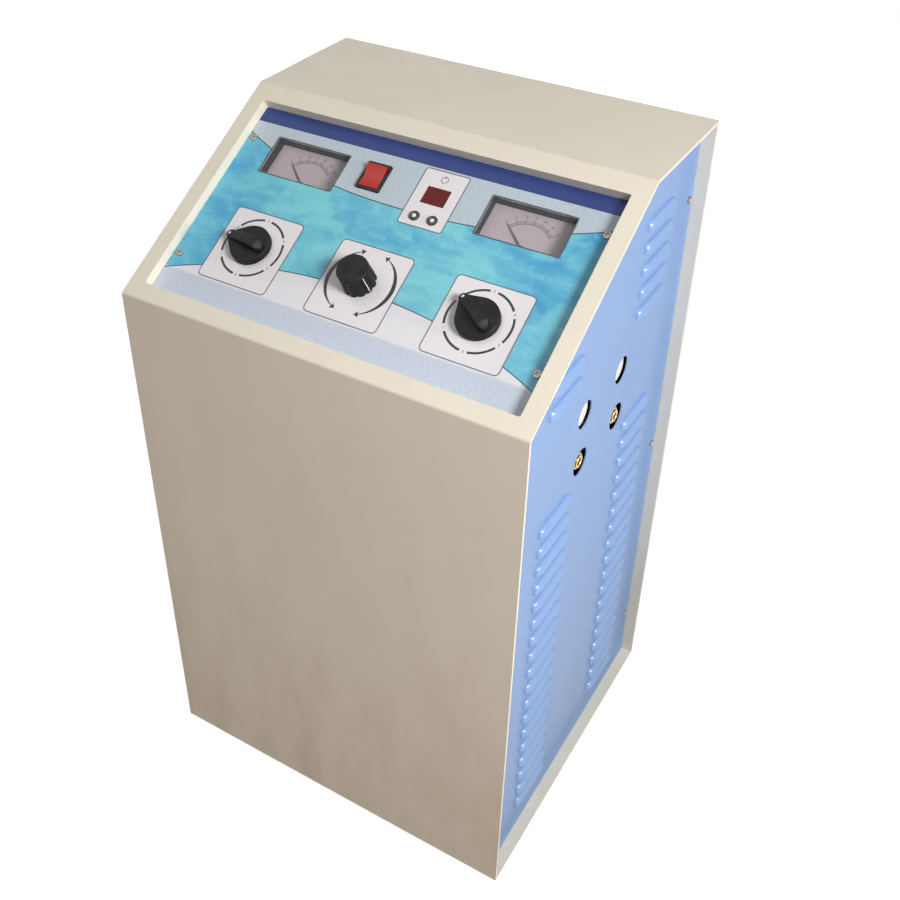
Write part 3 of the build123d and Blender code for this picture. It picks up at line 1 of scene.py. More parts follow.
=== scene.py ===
"""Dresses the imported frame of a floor-standing shortwave diathermy machine.

Metres, +Z up, +X the operator's right, -Y the front. The sloping panel has a frame of its own, in
millimetres: x across, y up the slope, z out of the printed overlay, from the middle of its face.
"""

import json
import math

import bmesh
import bpy
import numpy as np
from bpy.props import FloatProperty, FloatVectorProperty, IntProperty, PointerProperty
from mathutils import Matrix, Vector

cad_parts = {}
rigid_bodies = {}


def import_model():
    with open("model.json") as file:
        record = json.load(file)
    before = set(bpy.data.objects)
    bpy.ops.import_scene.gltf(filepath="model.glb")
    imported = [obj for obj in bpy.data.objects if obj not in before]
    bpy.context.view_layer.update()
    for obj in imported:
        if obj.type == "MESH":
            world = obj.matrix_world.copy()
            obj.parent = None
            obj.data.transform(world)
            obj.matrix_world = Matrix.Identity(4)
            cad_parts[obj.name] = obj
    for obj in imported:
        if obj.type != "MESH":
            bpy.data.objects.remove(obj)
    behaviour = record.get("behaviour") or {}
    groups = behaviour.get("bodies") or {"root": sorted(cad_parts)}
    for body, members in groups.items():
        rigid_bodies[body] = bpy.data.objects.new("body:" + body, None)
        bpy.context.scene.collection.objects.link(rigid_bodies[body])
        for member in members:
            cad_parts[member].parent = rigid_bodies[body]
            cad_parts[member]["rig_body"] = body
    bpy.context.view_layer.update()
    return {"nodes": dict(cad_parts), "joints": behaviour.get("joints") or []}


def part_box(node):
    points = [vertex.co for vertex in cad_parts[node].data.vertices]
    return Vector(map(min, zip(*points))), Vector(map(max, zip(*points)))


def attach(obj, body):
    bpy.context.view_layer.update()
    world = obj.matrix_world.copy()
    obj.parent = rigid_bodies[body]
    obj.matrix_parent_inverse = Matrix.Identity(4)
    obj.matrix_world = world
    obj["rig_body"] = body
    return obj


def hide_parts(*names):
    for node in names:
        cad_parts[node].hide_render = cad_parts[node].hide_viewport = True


bl_info = {
    "name": "Diathermy Machine Finish",
    "version": (1, 0, 0),
    "blender": (4, 5, 0),
    "location": "View3D > Sidebar > Diathermy",
    "description": "Dresses the frame of a floor-standing shortwave diathermy machine",
    "category": "Object",
}

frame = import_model()
JOINTS = {joint["name"]: joint for joint in frame["joints"]}
MM = 0.001

# Sizes and places in millimetres and degrees, those on the panel in its own frame. A plate or a
# window is given by its middle, where that is fixed, its half width and height and its corner.

SIDE_FACE = 201.5
REAR_FACE = 187.0
OVERLAY_SHEET = 0.5
PRINT_HALF = 196.0
INK_LIFT = 0.02
INK_TOP = 0.08
NUMERAL_HALF = 0.025
HEADER_LINE = 95.5
BAND_LINE = -85.0
DIAL_ROW = -40.1
DIAL_PLATE = (-42.6, 39.0, 40.5, 5.0)
DIAL_RADIUS = 31.0
ARROW_RADIUS = 33.0
DISPLAY_PLATE = (24.0, 61.5, 23.5, 32.0, 3.0)
DISPLAY_MARK = (24.0, 84.5)
BUTTON_ROW = 40.1
METER_ROW = 61.5
METER_WINDOW = (42.0, 21.0, 0.5)
METER_PIVOT = METER_ROW - 16.0
METER_FACE = -14.0
METER_START = 138.0
METER_STEP = 3.2
METER_DIVISIONS = 30
METER_RADIUS = 26.5
METER_NUMBERS = 34.2
METER_INK_LIFT = 0.03
METER_INK_TOP = 0.08
KNOB_LIFT = 0.8
KNOB_BORE = 10.5
KNOB_BORE_DEPTH = 5.5
POINTER_NOSE = 23.5
POINTER_EDGE = 1.3
POINTER_CROWN = 0.15
BAR_TOP = 16.5
BAR_SLOPE = 0.33
BAR_SHARPNESS = 2.2
POINTER_TURNS = {"selector": 173.0, "intensity": 146.0}
TUNER_TURN = -22.0
TUNER_HEIGHT = 23.5
TUNER_RADIUS = 16.3
TUNER_TAPER = 3.0
TUNER_EDGE = 1.4
TUNER_LINE = ((16.22, 0, 2.0), (15.2, 0, 21.5))
OUTLETS = {"front": (201.0, -42.0, 546.0), "rear": (201.0, 42.0, 546.0)}
CORNERS = ("front_left", "front_right", "rear_left", "rear_right")
SCREW_RADIUS = 3.7
SCREW_RISE = 1.75
SCREW_SLOT = 1.1
SCREW_SLOT_DEPTH = 1.2
SCREW_SHANK = 2.0
SCREW_REACH = 4.2
SCREW_TURN = 37.0
SIDE_SCREWS = ((175.8, 144), (175.8, 421), (175.8, 728), (-179.5, 144), (-179.5, 421), (-179.5, 646))
REAR_SCREWS = (
    *((side * 190.3, z) for side in (-1, 1) for z in (126, 426, 756)),
    *((120 + side * 43, 198.5 + rise) for side in (-1, 1) for rise in (-57, 57)),
)
PANEL_SCREWS = tuple((side * 191, y) for side in (-1, 1) for y in (74, -69))

# Louvres, in columns along the side, each with its number of rows above the outlets

LOUVRE_HALF = 34.0
LOUVRE_LEVEL = 23.0
LOUVRE_RISE = 10.6
LOUVRE_PROUD = 5.3
LOUVRE_POWER = 2.5
LOUVRE_PRESSED = 0.4
PRESSED_EDGE = 0.2
LOUVRE_PITCH = 23.8
LOUVRE_LOW = 513.0
LOUVRE_LOW_ROWS = 18
LOUVRE_HIGH = 648.0
LOUVRE_HIGH_ROWS = {-92.0: 2, 98.0: 5}

# Stage, in metres: each lamp's place, target and size, and the camera's axes to the right, up and back

FLOOR_HALF = 6.0
LAMPS = {
    "key": ((1.7, -0.9, 1.7), (0.0, 0.0, 0.5), 0.7),
    "fill": ((-0.5, -0.8, 2.3), (0.0, -0.08, 0.72), 1.3),
    "side": ((2.3, -0.1, 1.2), (0.2, 0.0, 0.45), 0.3),
    "back": ((-1.5, 1.9, 0.5), (0.0, 0.0, 0.4), 0.55),
}
CAMERA_PLACE = (0.5072, -0.8471, 1.2438)
CAMERA_AXES = (
    (0.857312, 0.514686, 0.010710),
    (-0.303798, 0.489021, 0.817658),
    (0.415600, -0.704242, 0.575604),
)
CAMERA_LENS = 46.30
CAMERA_SHIFT = (0.0256, -0.0854)


def paint(red, green, blue):
    """Linear colour of a paint given in display values from 0 to 255."""
    display = np.array((red, green, blue)) / 255
    linear = np.where(display <= 0.04045, display / 12.92, ((display + 0.055) / 1.055) ** 2.4)
    return tuple(round(float(value), 4) for value in linear)


def colour(name, description, *display):
    return FloatVectorProperty(
        name=name, description=description, subtype="COLOR", size=3, min=0, max=1, default=paint(*display)
    )


def length(name, description, millimetres):
    options = {"subtype": "DISTANCE", "unit": "LENGTH", "min": 0, "default": millimetres * MM}
    return FloatProperty(name=name, description=description, **options)


def power(name, description, watts):
    return FloatProperty(name=name, description=description, unit="POWER", default=watts)


class CabinetSettings(bpy.types.PropertyGroup):
    """Enamels of the cabinet and the rounding of its sheet edges."""

    cream: colour("Cream enamel", "Enamel of the folded wrap", 224, 215, 197)
    blue: colour("Blue enamel", "Enamel of the louvred side panels", 124, 155, 201)
    grey: colour("Grey enamel", "Enamel of the rear panel and base", 220, 217, 205)
    sheet_edge: length("Sheet edge", "Rounding of the wrap's sheet edges", 0.35)
    peel: length("Orange peel", "Width of the enamel's fine waves", 2.2)


class PrintSettings(bpy.types.PropertyGroup):
    """Inks of the printed overlay."""

    header: colour("Header", "Strip along the top of the overlay", 42, 62, 122)
    pale: colour("Pale field", "Textured field round the meters", 190, 200, 206)
    deep: colour("Deep wash", "Darker water colour of the middle field", 60, 153, 198)
    light: colour("Light wash", "Lighter water colour of the middle field", 118, 199, 208)
    plate: colour("Plate", "Plates round the knobs and the display", 226, 221, 222)
    ink: colour("Ink", "Scales, arrows and outlines", 34, 32, 38)
    outline: length("Outline", "Width of the printed outlines", 0.85)


class ControlSettings(bpy.types.PropertyGroup):
    """Knobs, rocker and buttons."""

    knob: colour("Knob", "Moulded plastic of the knobs", 20, 19, 21)
    rocker: colour("Rocker", "Paddle of the mains rocker", 172, 30, 15)
    window: colour("Display window", "Filter over the timer's digits", 105, 15, 21)
    flutes: IntProperty(name="Flutes", description="Flutes round the tuning knob", default=12, min=6, max=40)
    flute: length("Flute depth", "Depth of the tuning knob's flutes", 1.3)


class StageSettings(bpy.types.PropertyGroup):
    """Lamps and floor."""

    key: power("Key lamp", "Power of the large lamp", 46)
    fill: power("Fill lamp", "Power of the lamp above the panel", 6)
    side: power("Side lamp", "Power of the small lamp on the right", 18)
    back: power("Back lamp", "Power of the lamp behind", 26)
    room: FloatProperty(name="Room light", description="Strength of the room's own light", default=0.17)


# Places on the panel and on the control's own axes


def panel_frame():
    """Axes of the overlay: across, up the slope and outwards as columns, from its outer face's middle."""
    outward = Vector(JOINTS["tuner_turn"]["axis"]).normalized()
    across = Vector((1, 0, 0))
    up = outward.cross(across)
    low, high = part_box("panel_overlay")
    middle = (low + high) / 2 + outward * OVERLAY_SHEET * MM / 2
    axes = Matrix((across, up, outward)).transposed().to_4x4()
    return Matrix.Translation(middle) @ axes


PANEL = panel_frame()
SLOPE = math.atan2(-PANEL[1][2], PANEL[2][2])


def on_panel(across, up, out=0.0, turn=0.0):
    """Frame in millimetres at a place on the panel, turned about the outward direction."""
    place = Matrix.Translation((across * MM, up * MM, out * MM))
    return PANEL @ place @ Matrix.Rotation(math.radians(turn), 4, "Z") @ Matrix.Scale(MM, 4)


def across_of(joint):
    return JOINTS[joint]["pos_m"][0] / MM


# Meshes worked out as arrays


def quads(rows, columns, close_rows, close_columns, start):
    """Faces over a grid of points, numbered row by row; a closed direction joins its end to its start."""
    index = np.arange(rows * columns).reshape(rows, columns) + start
    if close_rows:
        index = np.vstack([index, index[:1]])
    if close_columns:
        index = np.hstack([index, index[:, :1]])
    corners = index[:-1, :-1], index[:-1, 1:], index[1:, 1:], index[1:, :-1]
    return np.stack(corners, axis=-1).reshape(-1, 4).tolist()


def skins(*grids):
    """Points and faces of several grids, each given as (points, close rows, close columns)."""
    points, faces = [], []
    start = 0
    for grid, close_rows, close_columns in grids:
        rows, columns = grid.shape[:2]
        faces += quads(rows, columns, close_rows, close_columns, start)
        points.append(grid.reshape(-1, 3))
        start += rows * columns
    return np.vstack(points), faces


def full_turn(steps):
    """Angles round a circle as a column, without the last one, which is the first."""
    return np.linspace(0, 2 * np.pi, steps, endpoint=False)[:, None]


def turned(radius, height, angle):
    """A closed grid about the z axis: x = r cos a, y = r sin a, z = h."""
    grid = np.stack([radius * np.cos(angle), radius * np.sin(angle), height + 0 * angle], axis=-1)
    return grid, True, False


def lathe(profile, steps):
    """Turns (radius, height) pairs about the z axis."""
    return turned(*np.array(profile, float).T, full_turn(steps))


def arc(radius, start, end, count):
    """Points on a circle about the origin, from one angle in degrees to another."""
    angle = np.radians(np.linspace(start, end, count))
    return np.stack([radius * np.cos(angle), radius * np.sin(angle)], axis=-1)


def spot_on(radius, turn):
    return arc(radius, turn, turn, 1)[0]


def rounding(radius, height, edge, last):
    """Profile of a rounded edge, from the side at a radius up towards the top at a height."""
    angles = np.linspace(1.5, last, 6)
    return [(radius - edge * (1 - math.sin(a)), height - edge * (1 - math.cos(a))) for a in angles]


def strip(path, width, low, high):
    """A flat strip along a path: at each point, half its width to either side of the tangent."""
    path = np.array(path, float)
    along = np.gradient(path, axis=0)
    side = np.stack([-along[:, 1], along[:, 0]], axis=-1)
    half = np.broadcast_to(width, len(path))[:, None] / 2
    side = side / np.linalg.norm(side, axis=1, keepdims=True) * half
    left, right = path + side, path - side
    layers = [(left, low), (left, high), (right, high), (right, low)]
    grid = np.stack([np.column_stack([p, np.full(len(p), level)]) for p, level in layers], axis=1)
    ends = np.stack([grid[[0, -1], 0:2], grid[[0, -1], 3:1:-1]], axis=2)
    return [(grid, False, True)] + [(end, False, False) for end in ends]


def linked(name, data):
    """A new object in the scene."""
    made = bpy.data.objects.new(name, data)
    bpy.context.scene.collection.objects.link(made)
    return made


def shown(name, mesh, body, slot, replaced=(), smooth=35.0, finish=None):
    """Makes a finished mesh a piece that rides on a body, in its slot's finish or in another."""
    mesh.shade_smooth()
    mesh.set_sharp_from_angle(angle=math.radians(smooth))
    mesh.materials.clear()
    mesh.materials.append(finish_of(finish or slot))
    piece = linked(name, mesh)
    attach(piece, body)
    if replaced:
        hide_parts(*replaced)
    return piece


def tidied(mesh, gap=1e-6, flat=0.0):
    """Merges doubled points, joins faces that lie flat together and turns all faces outwards."""
    work = bmesh.new()
    work.from_mesh(mesh)
    bmesh.ops.remove_doubles(work, verts=work.verts, dist=gap)
    bmesh.ops.dissolve_degenerate(work, dist=gap / 10, edges=work.edges)
    if flat:
        bmesh.ops.dissolve_limit(work, angle_limit=math.radians(flat), verts=work.verts, edges=work.edges)
    bmesh.ops.recalc_face_normals(work, faces=work.faces)
    work.to_mesh(mesh)
    work.free()
    return mesh


def placed(grids, place):
    """Grids carried into metres by a frame."""
    matrix = np.array(place)
    return [(points @ matrix[:3, :3].T + matrix[:3, 3], *closed) for points, *closed in grids]


def surface(name, grids, place, body, slot, replaced=(), smooth=35.0, finish=None):
    """A new piece from grids of points in a frame's own units."""
    points, faces = skins(*placed(grids, place))
    mesh = bpy.data.meshes.new(name)
    mesh.from_pydata(points.tolist(), [], faces)
    return shown(name, tidied(mesh), body, slot, replaced, smooth, finish)


def printed(name, marks, place, slot):
    """Marks in ink on a fixed part."""
    return surface(name, marks, place, "root", slot, finish="printed_ink")


def refined(node, slot, edge, flat=0.6, smooth=30.0):
    """A copy of a CAD node with its triangles joined and its edges rounded by so many millimetres."""
    mesh = frame["nodes"][node].data.copy()
    if "custom_normal" in mesh.attributes:
        mesh.attributes.remove(mesh.attributes["custom_normal"])
    tidied(mesh, 2e-6, flat)
    piece = shown(f"{node}_finish", mesh, frame["nodes"][node]["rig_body"], slot, [node], smooth)
    bevel = piece.modifiers.new("Rounded edges", "BEVEL")
    bevel.width = edge * MM
    bevel.segments = 2
    bevel.limit_method = "ANGLE"
    bevel.angle_limit = math.radians(smooth)
    bevel.harden_normals = True
    bevel.miter_outer = "MITER_ARC"
    return piece


def lettering(name, text, size, place, slot):
    """Plain numerals in ink as a thin mesh, centred on their place, size in millimetres."""
    curve = bpy.data.curves.new(name, "FONT")
    curve.body = text
    curve.size = size
    curve.align_x = "CENTER"
    curve.align_y = "CENTER"
    curve.extrude = NUMERAL_HALF
    curve.resolution_u = 3
    carrier = linked(name, curve)
    mesh = bpy.data.meshes.new_from_object(carrier.evaluated_get(bpy.context.evaluated_depsgraph_get()))
    bpy.data.objects.remove(carrier)
    bpy.data.curves.remove(curve)
    mesh.transform(place)
    return shown(name, tidied(mesh, 1e-7), "root", slot, finish="printed_ink")


# Shader nodes


def cleared(owner):
    """The empty node tree of a material or a world."""
    owner.use_nodes = True
    owner.node_tree.nodes.clear()
    return owner.node_tree


def add(tree, kind, sockets=None, **settings):
    """A shader node; each socket gets a value or the output that feeds it."""
    made = tree.nodes.new(kind)
    for key, value in settings.items():
        setattr(made, key, value)
    for key, value in (sockets or {}).items():
        if isinstance(value, bpy.types.NodeSocket):
            tree.links.new(value, made.inputs[key])
        else:
            made.inputs[key].default_value = value
    return made


def after(kind, sockets, **settings):
    """A node in the tree of the outputs that feed it."""
    fed = [value for value in sockets.values() if isinstance(value, bpy.types.NodeSocket)]
    return add(fed[0].id_data, kind, sockets, **settings)


def calc(operation, *values, clamp=False):
    return after("ShaderNodeMath", dict(enumerate(values)), operation=operation, use_clamp=clamp).outputs[0]


def spread(value, low, high, new_low=0.0, new_high=1.0, smooth=False):
    """A value's range from low to high spread over a new one, and held at its ends."""
    kind = "SMOOTHSTEP" if smooth else "LINEAR"
    sockets = {0: value, 1: low, 2: high, 3: new_low, 4: new_high}
    return after("ShaderNodeMapRange", sockets, interpolation_type=kind).outputs[0]


def varied(value, amount, base=1.0):
    """A base changed by an amount times a noise's distance from its middle."""
    return calc("MULTIPLY_ADD", calc("SUBTRACT", value, 0.5), amount, base)


def full(tint):
    """A colour with its alpha, or the socket that gives a colour."""
    return tint if isinstance(tint, bpy.types.NodeSocket) else (*tint[:3], 1.0)


def mixed(mask, first, second):
    sockets = {0: mask, 6: full(first), 7: full(second)}
    return after("ShaderNodeMix", sockets, data_type="RGBA").outputs[2]


def vector_calc(operation, first, second):
    """Two vectors taken together, or a vector scaled by a number."""
    sockets = {0: first, 3 if operation == "SCALE" else 1: second}
    return after("ShaderNodeVectorMath", sockets, operation=operation).outputs[0]


def object_place(tree):
    return add(tree, "ShaderNodeTexCoord").outputs["Object"]


def part_of(vector, axis):
    return after("ShaderNodeSeparateXYZ", {0: vector}).outputs[axis]


def noise(vector, scale, detail=2.0, roughness=0.5, stretch=None):
    if stretch:
        vector = after("ShaderNodeMapping", {0: vector, 3: stretch}).outputs[0]
    sockets = {"Vector": vector, "Scale": scale, "Detail": detail, "Roughness": roughness}
    return after("ShaderNodeTexNoise", sockets).outputs[0]


def group(name, inputs, outputs, fill):
    """A node group, made once. Its sockets are given as labels with their kinds, and a function of
    its tree and its inputs gives back what feeds each output."""
    made = bpy.data.node_groups.get(name)
    if made:
        return made
    made = bpy.data.node_groups.new(name, "ShaderNodeTree")
    for way, sockets in (("INPUT", inputs), ("OUTPUT", outputs)):
        for label, kind in sockets.items():
            made.interface.new_socket(label, in_out=way, socket_type=f"NodeSocket{kind}")
    given = made.nodes.new("NodeGroupInput")
    add(made, "NodeGroupOutput", fill(made, given.outputs))
    return made


FINISH_OUTPUTS = {"Color": "Color", "Roughness": "Float", "Height": "Float"}
FRAME_INPUTS = ("X", "Y", "Middle X", "Middle Y", "Half Width", "Half Height", "Corner")


def enamel_group():
    """Baked enamel: fine orange peel, slow cloudiness, faint specks, patchy stains of dirt and a smooth
    darkening towards the bottom that is painted shade, standing in for the light's falloff towards the
    floor.
    """

    def fill(tree, given):
        place = object_place(tree)
        peel = noise(place, given["Peel"], 2.0, 0.45)
        clouds = noise(place, 5.0, 3.0, 0.55)
        rubbed = noise(place, 22.0, 5.0, 0.65, (1.0, 1.0, 0.35))
        specks = noise(place, 900.0, 1.0)
        # Painted shade: below half a metre the enamel darkens smoothly, standing in for the light's falloff
        # towards the floor.
        low = spread(part_of(place, 2), 0.05, 0.5, 1.0, 0.0, smooth=True)
        stains = spread(rubbed, 0.42, 0.72)
        # Patchy stains of real dirt joined with the smooth painted shade low down.
        stains_and_shade = calc("MULTIPLY_ADD", stains, 0.4, calc("MULTIPLY", low, 0.6))
        soil_and_shade = calc("MULTIPLY", stains_and_shade, calc("MULTIPLY_ADD", low, 0.75, 0.25))
        soil_and_shade = calc("MULTIPLY", soil_and_shade, given["Soil"])
        tone = varied(specks, 0.05, varied(clouds, 0.10))
        tinted = vector_calc("SCALE", given["Paint"], tone)
        # Warm darker tone that both the stains and the painted shade blend towards.
        dirty = vector_calc("MULTIPLY", tinted, (0.72, 0.66, 0.58))
        rough = calc("MULTIPLY_ADD", spread(rubbed, 0.3, 0.7), 0.12, given["Roughness"])
        bumps = calc("MULTIPLY_ADD", specks, 0.25, peel)
        return {"Color": mixed(soil_and_shade, tinted, dirty), "Roughness": rough, "Height": bumps}

    inputs = {"Paint": "Color", "Peel": "Float", "Soil": "Float", "Roughness": "Float"}
    return group("baked_enamel", inputs, FINISH_OUTPUTS, fill)


def grain_group():
    """Moulding or casting grain: noise as height, with a slow change of tone and gloss and with dust
    that lies on what faces up."""

    def fill(tree, given):
        place = object_place(tree)
        coarse = noise(place, given["Grain"], 3.0, 0.6)
        slow = noise(place, 60.0, 3.0, 0.6)
        tone = varied(slow, given["Variation"])
        tinted = vector_calc("SCALE", given["Base"], tone)
        facing = add(tree, "ShaderNodeNewGeometry").outputs["Normal"]
        lying = spread(part_of(facing, 2), 0.1, 0.9, 0.25, 1.0)
        dust = calc("MULTIPLY", spread(slow, 0.45, 0.8), given["Dust"])
        dust = calc("MULTIPLY", dust, lying)
        rough = calc("MULTIPLY_ADD", coarse, 0.14, given["Roughness"])
        rough = calc("MULTIPLY_ADD", dust, 0.3, rough)
        return {"Color": mixed(dust, tinted, (0.42, 0.41, 0.39)), "Roughness": rough, "Height": coarse}

    inputs = {"Base": "Color", "Grain": "Float", "Variation": "Float", "Dust": "Float", "Roughness": "Float"}
    return group("moulded_grain", inputs, FINISH_OUTPUTS, fill)


def frame_group():
    """Distance to a rounded rectangle's edge: outside it the corner distance, inside it below nought."""

    def fill(tree, given):
        def past_corner(axis, size):
            off = calc("ABSOLUTE", calc("SUBTRACT", given[axis], given[f"Middle {axis}"]))
            return calc("ADD", calc("SUBTRACT", off, given[size]), given["Corner"])

        qx, qy = past_corner("X", "Half Width"), past_corner("Y", "Half Height")
        px, py = calc("MAXIMUM", qx, 0.0), calc("MAXIMUM", qy, 0.0)
        out = calc("SQRT", calc("MULTIPLY_ADD", px, px, calc("MULTIPLY", py, py)))
        within = calc("MINIMUM", calc("MAXIMUM", qx, qy), 0.0)
        return {"Distance": calc("SUBTRACT", calc("ADD", out, within), given["Corner"])}

    return group("rounded_frame", dict.fromkeys(FRAME_INPUTS, "Float"), {"Distance": "Float"}, fill)


# Materials: a maker takes the name of a slot and makes the material for it


def shader(name, build, bump=None, **constants):
    """A material with one Principled shader. A function of its tree gives what feeds colour,
    roughness and height; the constants are numbers for the shader's other sockets."""
    material = bpy.data.materials.new(name)
    tree = cleared(material)
    values = {key.replace("_", " "): value for key, value in constants.items()}
    body = add(tree, "ShaderNodeBsdfPrincipled", values)
    after("ShaderNodeOutputMaterial", {0: body.outputs[0]})
    made = build(tree)
    tree.links.new(made["Color"], body.inputs["Base Color"])
    tree.links.new(made["Roughness"], body.inputs["Roughness"])
    if bump:
        strength, distance = bump
        sockets = {"Strength": strength, "Distance": distance, "Height": made["Height"]}
        tree.links.new(after("ShaderNodeBump", sockets).outputs[0], body.inputs["Normal"])
    return material


def enamel(tint, soil_and_shade, rough=0.36, gloss=0.5, **constants):
    """Maker of baked enamel of one colour."""
    peel = 1 / settings("diathermy_cabinet").peel

    def build(tree):
        values = {"Paint": full(tint), "Peel": peel, "Soil": soil_and_shade, "Roughness": rough}
        return add(tree, "ShaderNodeGroup", values, node_tree=enamel_group()).outputs

    return lambda name: shader(name, build, (0.05, 0.0004), Specular_IOR_Level=gloss, **constants)


def grained(tree, tint, grain, variation, dust, rough):
    """Outputs of the grain group in one material, with its own values."""
    values = {"Base": full(tint), "Grain": grain, "Variation": variation, "Dust": dust, "Roughness": rough}
    return add(tree, "ShaderNodeGroup", values, node_tree=grain_group()).outputs


def moulding(tint, grain=1400.0, variation=0.12, dust=0.05, rough=0.4, relief=0.08, **constants):
    """Maker of a moulded, cast or plated surface with its grain."""

    def build(tree):
        return grained(tree, tint, grain, variation, dust, rough)

    return lambda name: shader(name, build, (relief, 0.0003), **constants)


def glass(tint, body):
    """Maker of clear or tinted sheet: alpha is the share of its own colour, gloss stays on top."""

    def build(tree):
        made = grained(tree, tint, 250.0, 0.1, 0.0, 0.03)
        return {"Color": made["Color"], "Roughness": calc("MULTIPLY_ADD", made["Height"], 0.04, 0.02)}

    return lambda name: shader(name, build, Alpha=body, Specular_IOR_Level=0.3)


def layered(axis, pitch, crest, tints, grime, rough, bump, metallic):
    """Maker of fine layers one beside the other along an axis, as colour and height: the tints are of
    the gaps, the layers and the grime, and the grime has a scale, a detail and a first level."""
    gap, layer, dirt = tints
    scale, detail, first = grime

    def build(tree):
        place = object_place(tree)
        wave = calc("SINE", calc("MULTIPLY", part_of(place, axis), 2 * math.pi / pitch))
        layers = spread(wave, -1.0, crest)
        dirty = noise(place, scale, detail, 0.6)
        tone = mixed(layers, gap, layer)
        tone = mixed(spread(dirty, first, 0.8, 0.0, 0.5), tone, dirt)
        return {"Color": tone, "Roughness": spread(dirty, 0.3, 0.7, *rough), "Height": layers}

    return lambda name: shader(name, build, bump, Metallic=metallic)


class OverlayPrint:
    """Printed overlay: a dark header, pale field, water-colour field between two curved lines, a white field
    and a pale band below, white plates round the knobs and the display, and painted shadows round the meter
    windows."""

    def __init__(self, tree):
        self.inks = settings("diathermy_print")
        shift = -(Matrix.Rotation(-SLOPE, 3, "X") @ PANEL.translation) / MM
        sockets = {0: object_place(tree), 1: shift, 2: (-SLOPE, 0, 0), 3: (1 / MM,) * 3}
        self.flat = add(tree, "ShaderNodeMapping", sockets).outputs[0]
        self.x, self.y = part_of(self.flat, 0), part_of(self.flat, 1)
        self.share = calc("DIVIDE", calc("ABSOLUTE", self.x), PRINT_HALF)
        warp = calc("MULTIPLY", noise(self.flat, 0.03, 3.0, 0.6), 60.0)
        swirl = after("ShaderNodeCombineXYZ", {0: warp}).outputs[0]
        swept = vector_calc("ADD", self.flat, swirl)
        self.washes = noise(swept, 0.015, 5.0, 0.58, (0.85, 1.35, 1.0))
        self.strokes = noise(swept, 0.06, 5.0, 0.62, (0.8, 1.5, 1.0))
        self.fibres = noise(self.flat, 1.1, 2.0, 0.6)
        slanted = {0: self.flat, 2: (0, 0, math.radians(38)), 3: (0.35, 2.4, 1.0)}
        self.hatch = noise(after("ShaderNodeMapping", slanted).outputs[0], 0.8, 2.0, 0.6)

    def over_curve(self, level, rise, power):
        """Height over a line that bends towards both sides of the sheet by a power of x."""
        line = calc("MULTIPLY_ADD", calc("POWER", self.share, power), rise, level)
        return calc("SUBTRACT", self.y, line)

    def outline(self, distance):
        """1 along a line, half an outline's width to either side."""
        half = self.inks.outline / MM / 2
        return spread(calc("ABSOLUTE", distance), half, half + 0.25, 1.0, 0.0)

    def inked(self, tone, mask, strength, ink):
        return mixed(calc("MULTIPLY", mask, strength), tone, ink)

    def water_colour(self):
        """Middle field: darker towards both sides, with light and dark strokes."""
        side = spread(self.share, 0.35, 1.0, 0.0, 0.35, smooth=True)
        wash = spread(self.washes, 0.36, 0.58, 0.22, 1.05)
        blend = calc("SUBTRACT", wash, side, clamp=True)
        field = mixed(blend, self.inks.deep, self.inks.light)
        field = mixed(spread(self.strokes, 0.52, 0.66, 0.0, 0.4), field, (0.26, 0.62, 0.74))
        return mixed(spread(self.strokes, 0.48, 0.34, 0.0, 0.32), field, (0.07, 0.27, 0.52))

    def woven(self, tints, hatching, threads):
        """A field hatched in two tints, with pale threads in a third."""
        cloth = mixed(spread(self.hatch, *hatching), *tints[:2])
        return mixed(spread(self.fibres, *threads), cloth, tints[2])

    def fields(self):
        """All fields, from the band along the bottom up to the header."""
        upper, lower = self.over_curve(43.0, 37.0, 2.4), self.over_curve(-48.0, -38.5, 2.23)
        tints = (self.inks.pale, paint(168, 182, 194), (0.82, 0.86, 0.88))
        pale = self.woven(tints, (0.38, 0.62), (0.60, 0.74, 0.0, 0.6))
        tints = (paint(174, 186, 204), paint(196, 204, 214), (0.84, 0.87, 0.92))
        band = self.woven(tints, (0.36, 0.60), (0.58, 0.70, 0.0, 0.7))
        tone = mixed(spread(upper, -0.1, 0.1), self.water_colour(), pale)
        tone = mixed(spread(lower, -0.1, 0.1), paint(220, 218, 220), tone)
        ragged = varied(self.strokes, 3.0, self.y)
        tone = mixed(spread(ragged, BAND_LINE - 1.5, BAND_LINE + 1.5, 1.0, 0.0), tone, band)
        curves = calc("MAXIMUM", self.outline(upper), self.outline(lower))
        tone = self.inked(tone, curves, 0.95, paint(18, 44, 66))
        header = mixed(spread(self.washes, 0.35, 0.65), self.inks.header, paint(38, 57, 116))
        return mixed(spread(self.y, HEADER_LINE - 0.1, HEADER_LINE + 0.1), tone, header)

    def distance(self, *rectangle):
        """Distance to a rounded rectangle given by its middle, half sizes and corner."""
        sockets = dict(zip(FRAME_INPUTS, (self.x, self.y, *rectangle)))
        return after("ShaderNodeGroup", sockets, node_tree=frame_group()).outputs["Distance"]

    def plate(self, tone, *rectangle):
        """A white plate with a grey outline over what lies under it."""
        distance = self.distance(*rectangle)
        white = mixed(spread(self.fibres, 0.3, 0.7), self.inks.plate, paint(220, 217, 220))
        tone = mixed(spread(distance, -0.1, 0.1, 1.0, 0.0), tone, white)
        return self.inked(tone, self.outline(calc("ADD", distance, 0.3)), 0.95, paint(84, 82, 92))

    def meter_edge(self, tone, joint):
        """A ragged painted shadow round a meter's window: dark ink on the overlay standing in for the shade
        of the window's recess.
        """
        distance = self.distance(across_of(joint), METER_ROW, *METER_WINDOW)
        ragged = calc("MULTIPLY_ADD", self.strokes, 1.2, distance)
        return self.inked(tone, spread(ragged, 1.7, 2.2, 1.0, 0.0), 0.85, paint(60, 60, 66))

